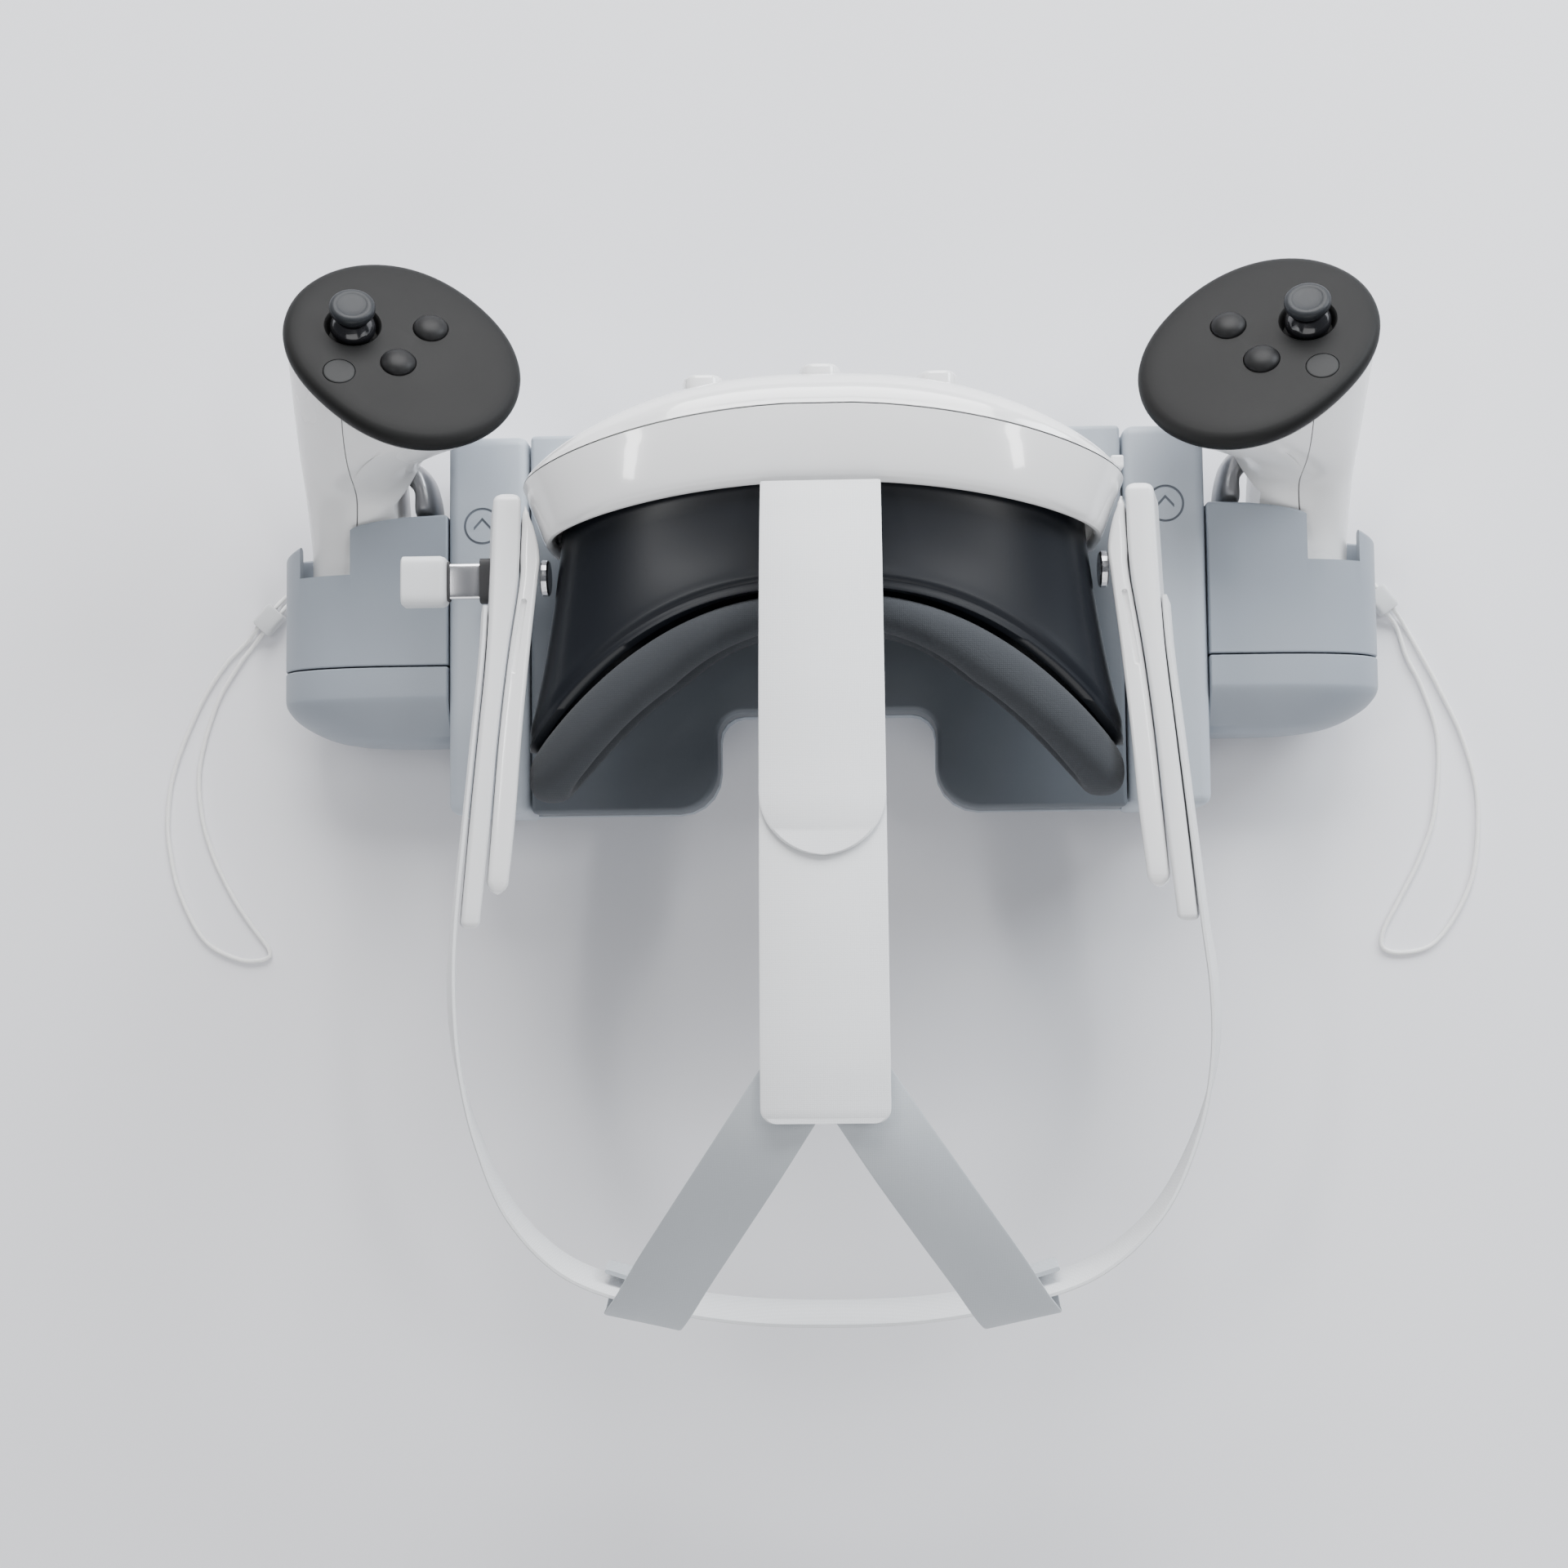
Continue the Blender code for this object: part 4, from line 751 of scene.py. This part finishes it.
def make_cushion():
    obj = new_object("face_pad", cushion_tube(150, 18), MATS["foam"], 60)
    inflate(obj, 4.0, 0.6)
    subdivide = obj.modifiers.new("subdivide", "SUBSURF")
    subdivide.levels = 1
    subdivide.render_levels = 1
    apply_modifiers(obj)
    obj.data.shade_smooth()
    settle(obj, "face_piece", ["face_cushion"])


# ---------------- head strap

STRAP_LEAN = 0.2
ARM_TOP = 111.0


def arm_section(side, y, outer, inner, low, high, corner):
    """A rounded cross-section whose lower edge leans outwards."""
    corner = min(corner, 0.45 * (outer - inner))
    centres = ((inner + corner, high - corner, 180), (outer - corner, high - corner, 90),
               (outer - corner, low + corner, 0), (inner + corner, low + corner, -90))
    section = []
    for x, z, start in centres:
        for px, pz in arc((x, z), corner, start, start - 90, 5):
            section.append(mm(side * (px + STRAP_LEAN * (ARM_TOP - pz)), y, pz))
    return section


def rounded_bar(side, rows, corner, ends):
    """A bar through stations, with its two ends rounded off over the given lengths."""
    rows = smooth_rows(rows, 40)
    caps = []
    for row, out, reach in ((rows[0], 1.0, ends[0]), (rows[-1], -1.0, ends[1])):
        y, outer, inner, low, high = row
        cap = []
        for k in range(5):
            angle = math.radians(90 - 18 * k)
            pull = reach * (1 - math.cos(angle))
            width = (outer - inner) / 2 - 0.3
            inset = min(pull, width)
            cap.append(arm_section(side, y + out * reach * math.sin(angle), outer - inset, inner + inset,
                                   low + pull, high - pull, corner))
        caps.append(cap)
    body = [arm_section(side, *row, corner) for row in rows]
    return loft(caps[0] + body + caps[1][::-1])


def make_arm(side, label):
    rows = [(30.4, 99, 90.6, 86.4, 111), (8, 99.9, 91.4, 85.2, 111), (-16, 101.2, 94.9, 86, 111),
            (-41, 103.7, 97.9, 88, 111), (-66, 106.2, 100.1, 90, 110.5),
            (-96.0, 109.0, 103.1, 92.0, 110.0)]
    arm = new_object("side_arm_" + label, rounded_bar(side, rows, 1.5, (2.6, 2.0)), MATS["satin"])
    if side < 0:
        cut(arm, box(mm(-112, 2.4, 93.6), mm(-98.5, 14.8, 98.2)))
    settle(arm, "head_strap", ["arm_" + label])
    rows = [(26, 90.2, 88, 90, 109.8), (22, 90.3, 86.5, 89, 110), (14, 90.7, 84.9, 88.5, 110),
            (6, 91, 85.6, 88.5, 110), (-17, 94.5, 88.2, 88.5, 110), (-41, 97.3, 90.5, 89.5, 110),
            (-66, 99.4, 92.5, 91, 109.6), (-84, 100.9, 94.4, 92.5, 109)]
    speaker = new_object("speaker_box_" + label, rounded_bar(side, rows, 1.6, (3.6, 4.0)), MATS["gloss"])
    slot_x = 91.6
    slot = side_box(side, (slot_x - 0.9, slot_x + 0.9), (-22, 1), (109, 112), 0.8)
    bmesh.ops.rotate(slot, cent=mm(side * slot_x, -10.5, 110), verts=slot.verts,
                     matrix=Matrix.Rotation(side * math.atan2(3.5, 23.0), 3, "Z"))
    cut(speaker, slot)
    settle(speaker, "head_strap", ["speaker_" + label])


BAND = [(101.6, -1, 4.4), (102.6, -16, 4.4), (105.2, -41, 4.4), (107.8, -66, 4.4),
        (110.9, -98, 4.8), (112.2, -120, 5.4), (111, -141, 4.6), (106.2, -162, 3.2),
        (96.2, -184, 0.5), (78.6, -200.9, -1.8), (54, -209.6, -3), (27, -214.3, -3.4),
        (0.0, -215.4, -3.5)]


def make_band():
    upper = []
    lower = []
    for sign, rows in ((-1, BAND), (1, BAND[-2::-1])):
        for x, y, flare in rows:
            sway = 1.6 * math.sin(math.pi * min(max((-100.0 - y) / 105.0, 0.0), 1.0))
            share = min(max(-y - 140.0, 0.0) / 70.0, 1.0)
            upper.append(mm(sign * x + sway, y, 110))
            lower.append(mm(sign * (x + flare * (1 - share)) + sway, y - flare * share, 88))
    bm = ribbon(smooth_path(upper, 220), smooth_path(lower, 220), 1.6 * MM)
    piece("flex_band", bm, "strap", "head_strap", ["head_band"])


TOP_LINE = [(28.3, 132.8), (20, 137.5), (0, 146.5), (-30, 155.5), (-56, 161), (-90, 168),
            (-114, 171.5), (-134, 173.6), (-151, 173.8)]
STRAP_HALF = 17.5


def strap_layer(line, lift, thickness, half_width_at):
    """A flat strap along a line in Y and Z, lifted off it, with its own width at each point."""
    edges = ([], [])
    for i, point in enumerate(line):
        along = (line[min(i + 1, len(line) - 1)] - line[max(i - 1, 0)]).normalized()
        up = Vector((1, 0, 0)).cross(along)
        if up.z < 0:
            up = -up
        middle = point + up * lift * MM
        half = half_width_at(point) * MM
        edges[0].append(middle - Vector((half, 0, 0)))
        edges[1].append(middle + Vector((half, 0, 0)))
    return ribbon(edges[0], edges[1], thickness * MM)


def line_point(line, distance):
    """The point on a line that is a given distance before its end."""
    walked = 0.0
    for b, a in zip(line[::-1], line[-2::-1]):
        step = (b - a).length
        if walked + step >= distance:
            return b.lerp(a, (distance - walked) / step)
        walked += step
    return line[0]


def rounded_layer(line, radius, steps, lift, thickness):
    """A layer of the top strap whose rear corners are rounded."""
    end = line[-1]
    tip = [line_point(line, radius * (1 - math.cos(math.radians(90 - 90 * k / steps))))
           for k in range(steps + 1)]

    def half_width_at(point):
        gap = (point - end).length
        if gap >= radius:
            return STRAP_HALF
        return max(STRAP_HALF - (radius - math.sqrt(radius ** 2 - (radius - gap) ** 2)) / MM, 0.9)

    body = [point for point in line if (point - end).length > radius]
    return strap_layer(body + tip, lift, thickness, half_width_at)


def make_top_strap():
    line = smooth_path([mm(0, y, z) for y, z in TOP_LINE], 190)
    front = [point for point in line if point.y >= -80.0 * MM]
    under = new_object("top_strap_under", rounded_layer(line, 4.0 * MM, 10, 0.8, 1.5), MATS["strap"])
    over = new_object("top_strap_over", rounded_layer(front, STRAP_HALF * MM, 18, 2.5, 1.6), MATS["strap"])
    for layer in (under, over):
        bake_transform(layer)
    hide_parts("top_strap")


LEG_INNER = [(2.4, -150.8, 172), (12.9, -167.3, 164.6), (23.5, -183.7, 149.6), (34, -200.2, 129.1),
             (40.9, -211.6, 114.5), (44.5, -217, 104), (45, -217.4, 94), (45.2, -214.8, 86),
             (45.3, -210.6, 83.4), (45.4, -206.4, 86.6), (45.4, -205.6, 95), (45.4, -206.8, 104)]
LEG_OUTER = [(16.6, -135, 172), (29.3, -154.1, 164.6), (42.1, -173.2, 149.6), (54.8, -192.3, 129.1),
             (63, -205.6, 114.5), (67.5, -212, 104), (68.2, -212.4, 94), (68.2, -209.4, 86),
             (68, -204.8, 83.4), (67.6, -200.2, 86.6), (67.4, -199, 95), (67.4, -200, 104)]


def make_rear_strap(side, label):
    edge_a = smooth_path([mm(side * x, y, z) for x, y, z in LEG_INNER], 130)
    edge_b = smooth_path([mm(side * x, y, z) for x, y, z in LEG_OUTER], 130)
    # The rear legs' darker knit is painted shade.
    piece("rear_leg_" + label, ribbon(edge_a, edge_b, 1.3 * MM), "strap_painted_shade", "head_strap",
          ["rear_strap_" + label])


def plug_bar(rows, closed_loop=False):
    """A squarish bar along the plug's axis, from (X, half depth, half height) rows."""
    rings = [[mm(x, 8.6 + a, 95.9 + b) for a, b in superellipse(half_y, half_z, 5, 48)]
             for x, half_y, half_z in rows]
    return loft(rings, closed_loop)


def make_plug():
    body = plug_bar([(-129.6, 6.3, 3.6), (-129.5, 7.2, 4.4), (-129, 7.7, 4.9), (-117.6, 7.7, 4.9),
                     (-116.4, 7.3, 4.5), (-115.8, 6.6, 3.9), (-115.6, 5.9, 3.2)])
    piece("plug_grip", body, "bead", "plug", ["charge_plug"])
    # The collar is a dark band as painted shade in the gap at the plug grip's end.
    collar = plug_bar([(-115.9, 6.1, 2.3), (-114.9, 6.1, 2.3)])
    piece("plug_collar_painted_shade", collar, "slit", "plug", ())
    # The port rim is a dark ring on the arm as painted shade in the port's recess.
    rim = plug_bar([(-105.4, 6.9, 3), (-102, 6.9, 3), (-102, 5.9, 2), (-105.4, 5.9, 2)], True)
    piece("port_rim_painted_shade", rim, "slit", "head_strap", ())
    tip = plug_bar([(-115, 5.5, 1.55), (-103, 5.5, 1.55), (-102.6, 5.2, 1.3)])
    piece("plug_tip", tip, "steel", "plug", ())


# ---------------- controllers

FACE_TILT = math.radians(29.0)
FACE_LEAN = math.radians(10.0)
FACE_CENTRES = {-1: (-134.8, 87, 76), 1: (138.4, 82.6, 76)}
BUTTON_PLACES = (("a", 8.8, 10.3), ("b", 0.1, -5.9))
MENU_PLACE = (-17.8, -12.1)
STICK_PLACE = (-15.8, 8.2)
BODY_POINTS = 112
HANDLE_X = 157.0


def face_axes(side):
    """Across a controller's face towards the dock, down it away from the dock, and its normal."""
    upright = Vector((0, math.sin(FACE_TILT), math.cos(FACE_TILT)))
    inward = Vector((-side, 0, 0))
    down = Vector((0, math.cos(FACE_TILT), -math.sin(FACE_TILT)))
    normal = upright * math.cos(FACE_LEAN) + inward * math.sin(FACE_LEAN)
    across = inward * math.cos(FACE_LEAN) - upright * math.sin(FACE_LEAN)
    return across, down, normal


def face_point(side, a, b, height=0.0):
    across, down, normal = face_axes(side)
    return mm(*FACE_CENTRES[side]) + (across * a + down * b + normal * height) * MM


def face_ring(side, scale, height):
    ring = []
    for angle in circle_angles(BODY_POINTS):
        swing = 4.6 * math.cos(2.0 * (angle - math.radians(137.0)))
        radius = (37.2 + swing + 1.5 * math.cos(angle - math.radians(60.0))) * scale
        ring.append(face_point(side, radius * math.cos(angle), radius * math.sin(angle), height))
    return ring


def handle_ring(side, y, half_width, half_height):
    ring = []
    for angle in circle_angles(BODY_POINTS):
        c = signed_power(math.cos(angle), 0.85)
        s = signed_power(math.sin(angle), 0.85)
        ring.append(mm(-side * half_width * c + side * HANDLE_X, y, 24.0 - half_height * s))
    return ring


NECK_INNER_POWER = 2.6
NECK_OUTER_POWER = 1.8


def body_rings(side):
    """Rings from the handle's end to the underside of the face."""
    stations = smooth_rows([(-27, 9, 8), (-24, 13, 12), (-10, 16.5, 14.5),
                            (12, 17.5, 15.2), (36, 18.2, 16)], 18)
    rings = [handle_ring(side, *row) for row in stations]
    neck = handle_ring(side, 44.0, 18.6, 17.0)
    face = face_ring(side, 0.97, -6.3)
    for step in range(1, 23):
        share = 0.10 + 0.80 * step / 22
        ring = []
        for low, high in zip(neck, face):
            point = low.lerp(high, share)
            inner = (low.x - side * HANDLE_X * MM) * side < 0
            power = NECK_INNER_POWER if inner else NECK_OUTER_POWER
            point.x = low.x + (high.x - low.x) * share ** power
            ring.append(point)
        rings.append(ring)
    rings.append(face)
    for _ in range(6):
        for i in range(17, len(rings) - 2):
            rings[i] = [b * 0.5 + (a + c) * 0.25 for a, b, c in zip(rings[i - 1], rings[i], rings[i + 1])]
    return rings


def half_shell(side, keep_outer):
    bm = loft(body_rings(side))
    bmesh.ops.recalc_face_normals(bm, faces=bm.faces)
    offset = 0.22 if keep_outer else -0.22
    plane = mm(side * (156.4 + offset), 35, 0)
    normal = Vector((side, 0.19, 0)).normalized()
    geom = bm.verts[:] + bm.edges[:] + bm.faces[:]
    bmesh.ops.bisect_plane(bm, geom=geom, plane_co=plane, plane_no=normal, clear_inner=keep_outer,
                           clear_outer=not keep_outer)
    bmesh.ops.holes_fill(bm, edges=[edge for edge in bm.edges if edge.is_boundary], sides=0)
    return bm


def make_body(side, label):
    body = "controller_" + label
    piece("grip_outer_" + label, half_shell(side, True), "controller", body, ["outer_shell_" + label],
          50)
    inner = new_object("grip_inner_" + label, half_shell(side, False), MATS["controller"], 50)
    trigger_room = side_box(side, (120, 143.5), (39, 60), (12, 44))
    grip_room = side_box(side, (120, 145.6), (0, 30), (14, 34))
    cut(inner, trigger_room, grip_room, sharp_degrees=50)
    settle(inner, body, ["inner_shell_" + label])


def make_face(side, label):
    rows = [(0.965, -6), (0.988, -5.2), (0.998, -4.2), (1, -3), (0.992, -1.9), (0.975, -1),
            (0.95, -0.4), (0.92, -0.05), (0.86, 0.3), (0.78, 0.5)]
    rings = [face_ring(side, scale, height) for scale, height in rows]
    plate = new_object("thumb_plate_" + label, loft(rings), MATS["face"])
    normal = face_axes(side)[2]
    wells = [turned([(5.75, -3.2), (5.75, 6)], face_point(side, a, b), normal) for _, a, b in BUTTON_PLACES]
    wells.append(turned([(5.15, -2.8), (5.15, 6)], face_point(side, *MENU_PLACE), normal))
    wells.append(turned([(7.7, -5.2), (8.4, -0.6), (8.8, 0.2), (9.6, 0.9), (9.6, 6)],
                        face_point(side, *STICK_PLACE), normal))
    cut(plate, *wells)
    settle(plate, "controller_" + label, ["face_plate_" + label])


def make_buttons(side, label):
    normal = face_axes(side)[2]
    dome = [(5.55, -1.7), (5.55, 0.6), (5.45, 1), (5.2, 1.35), (4.6, 1.85), (3.8, 2.3), (2.8, 2.65),
            (1.6, 2.88), (0.4, 2.95)]
    for name, a, b in BUTTON_PLACES:
        piece("key_cap_" + name + "_" + label, turned(dome, face_point(side, a, b), normal), "button",
              "key_%s_%s" % (name, label), ["button_%s_%s" % (name, label)])
    flat = [(4.95, -1.4), (4.95, 0.45), (4.8, 0.6), (4.5, 0.66)]
    piece("key_cap_menu_" + label, turned(flat, face_point(side, *MENU_PLACE), normal), "menu",
          "key_menu_" + label, ["menu_button_" + label])


def make_stick(side, label):
    normal = face_axes(side)[2]
    pivot = face_point(side, *STICK_PLACE, -1.0)
    stem = [(4.4, -2.6), (5.6, -2), (6.4, -1.4), (7.1, -0.4), (7.3, 0.5), (7.25, 1.4), (7, 2.2),
            (6.6, 3), (6, 3.8), (5.2, 4.8), (4, 5.12), (2.4, 6.04), (0.8, 6.45)]
    piece("stick_boot_" + label, turned(stem, pivot, normal), "stem", "stick_base_" + label,
          ["stick_stem_" + label])
    cap = [(5.8, 6.9), (6.4, 7.2), (6.9, 7.8), (7.2, 8.4), (7.3, 9), (7.3, 9.6), (7.2, 10), (6.95, 10.4),
           (6.5, 10.75), (5.9, 10.95), (5.2, 11), (4.7, 10.85), (4.3, 10.75), (2.5, 10.7), (0.6, 10.7)]
    piece("stick_top_cap_" + label, turned(cap, pivot, normal), "stick", "stick_top_" + label,
          ["stick_cap_" + label])


def lever_bar(side, rows):
    """A rounded finger lever from rows of depth along Y, outer and inner X, low and high Z."""
    rings = []
    for y, outer, inner, low, high in smooth_rows(rows, 22):
        half_x = (outer - inner) / 2
        half_z = (high - low) / 2
        rings.append([mm(side * (inner + half_x + a), y, low + half_z + b)
                      for a, b in superellipse(half_x, half_z, 3.0, 28)])
    return loft(rings)


def make_trigger(side, label):
    trigger = [(58, 142, 137, 26, 40), (57, 142.2, 134.6, 22.5, 42.4),
               (54, 142.2, 132.4, 19.5, 43.4), (49, 138.2, 131.2, 17, 43.2),
               (44, 138.2, 130.6, 16.2, 42), (41.6, 138, 131, 17.6, 40.8),
               (40.6, 137.4, 132.4, 20.0, 38.4)]
    piece("trigger_lever_" + label, lever_bar(side, trigger), "lever", "trigger_lever_" + label,
          ["trigger_" + label])


def make_pieces():
    make_dock()
    make_visor()
    make_interface()
    make_cushion()
    make_band()
    make_top_strap()
    make_plug()
    for side, label in SIDES:
        make_arm(side, label)
        make_rear_strap(side, label)
        make_trigger(side, label)
        make_body(side, label)
        make_face(side, label)
        make_buttons(side, label)
        make_stick(side, label)
    for side, label in SIDES:
        make_cord(side, label)


# ---------------- wrist cords

CORD_RADIUS = 0.75
BEAD_Z = 2.8
BEAD_CENTRE = {-1: (-196.4, 11.4), 1: (191.8, 12.1)}
BEAD_ALONG = {-1: Vector((-7.6, -8.4, 0)).normalized(), 1: Vector((6.8, -9.2, 0)).normalized()}
STRAND_OFFSET = 1.35
LOOPS = {
    -1: [(212.6, -4), (221.4, -18.2), (230, -39.8), (232.6, -57), (231.4, -71.3), (227.6, -85.7),
         (219, -101), (207, -107.6), (198, -107.6), (196.4, -104.4), (203, -95.4),
         (209.2, -86), (216.3, -71.6), (220.5, -57.2), (221.4, -39.9), (215.8, -18.6), (208, -4.6)],
    1: [(205.6, -7.6), (211, -18.6), (218.4, -35.9), (222.8, -55.6), (221.5, -77.9), (216.6, -92.6),
        (207, -106), (197, -109.4), (189.4, -108), (189.4, -102), (195.3, -91),
        (202.7, -77), (208.1, -61), (210, -36.4), (205.2, -18.4), (200.2, -7.4)],
}
CORD_START = [(158.8, 44.5, 6.6), (160.4, 42.4, 2.6), (164.5, 38.6, 0.95), (172, 33, 0.85)]
CORD_FINISH = [(170.4, 29.8, 0.85), (163.4, 34.6, 0.85), (158.4, 38.6, 0.95), (155.4, 41.4, 2.6),
               (154.4, 43.6, 6.4)]


def bead_points(side, outer):
    """The stretch of one strand that runs straight through the bead, on the way out."""
    centre = mm(*BEAD_CENTRE[side], BEAD_Z)
    along = BEAD_ALONG[side]
    across = Vector((side * abs(along.y), abs(along.x), 0)) * STRAND_OFFSET * MM
    base = centre + (across if outer else -across)
    drop = mm(0, 0, BEAD_Z - 0.85)
    return [base - along * 11 * MM - drop, base - along * 5 * MM, base, base + along * 5 * MM,
            base + along * 11 * MM - drop]


def cord_route(side):
    route = [mm(side * x, y, z) for x, y, z in CORD_START] + bead_points(side, True)
    route += [mm(side * x, y, 0.85) for x, y in LOOPS[side]] + bead_points(side, False)[::-1]
    return route + [mm(side * x, y, z) for x, y, z in CORD_FINISH]


def make_cord(side, label):
    points = smooth_path(cord_route(side), 240)
    curve = bpy.data.curves.new("wrist_loop_" + label, "CURVE")
    curve.dimensions = "3D"
    curve.bevel_depth = CORD_RADIUS * MM
    curve.bevel_resolution = 4
    curve.use_fill_caps = True
    spline = curve.splines.new("POLY")
    spline.points.add(len(points) - 1)
    for place, point in zip(spline.points, points):
        place.co = (*point, 1.0)
    spline.use_smooth = True
    curve.materials.append(MATS["cord"])
    obj = bpy.data.objects.new("wrist_loop_" + label, curve)
    bpy.context.scene.collection.objects.link(obj)
    settle(obj, "controller_" + label, ["wrist_cord_" + label])
    bead = make_bead(side, label)


def make_bead(side, label):
    centre = mm(*BEAD_CENTRE[side], BEAD_Z)
    along = BEAD_ALONG[side]
    up = Vector((0, 0, 1))
    across = along.cross(up)
    rows = [(-4.5, 3.2, 2), (-4.3, 3.7, 2.4), (-3.6, 4, 2.6), (3.6, 3.7, 2.5), (4.3, 3.4, 2.3),
            (4.5, 3, 1.9), (4.5, 2.6, 1.3), (-4.5, 2.6, 1.3)]
    rings = [[centre + along * shift * MM + across * a * MM + up * b * MM
              for a, b in superellipse(half_w, half_h, 5.0, 32)] for shift, half_w, half_h in rows]
    return piece("loop_bead_" + label, loft(rings, closed_loop=True), "bead", "controller_" + label,
                 ["cord_bead_" + label])


paint_cad()
make_camera()
make_stage()
make_pieces()
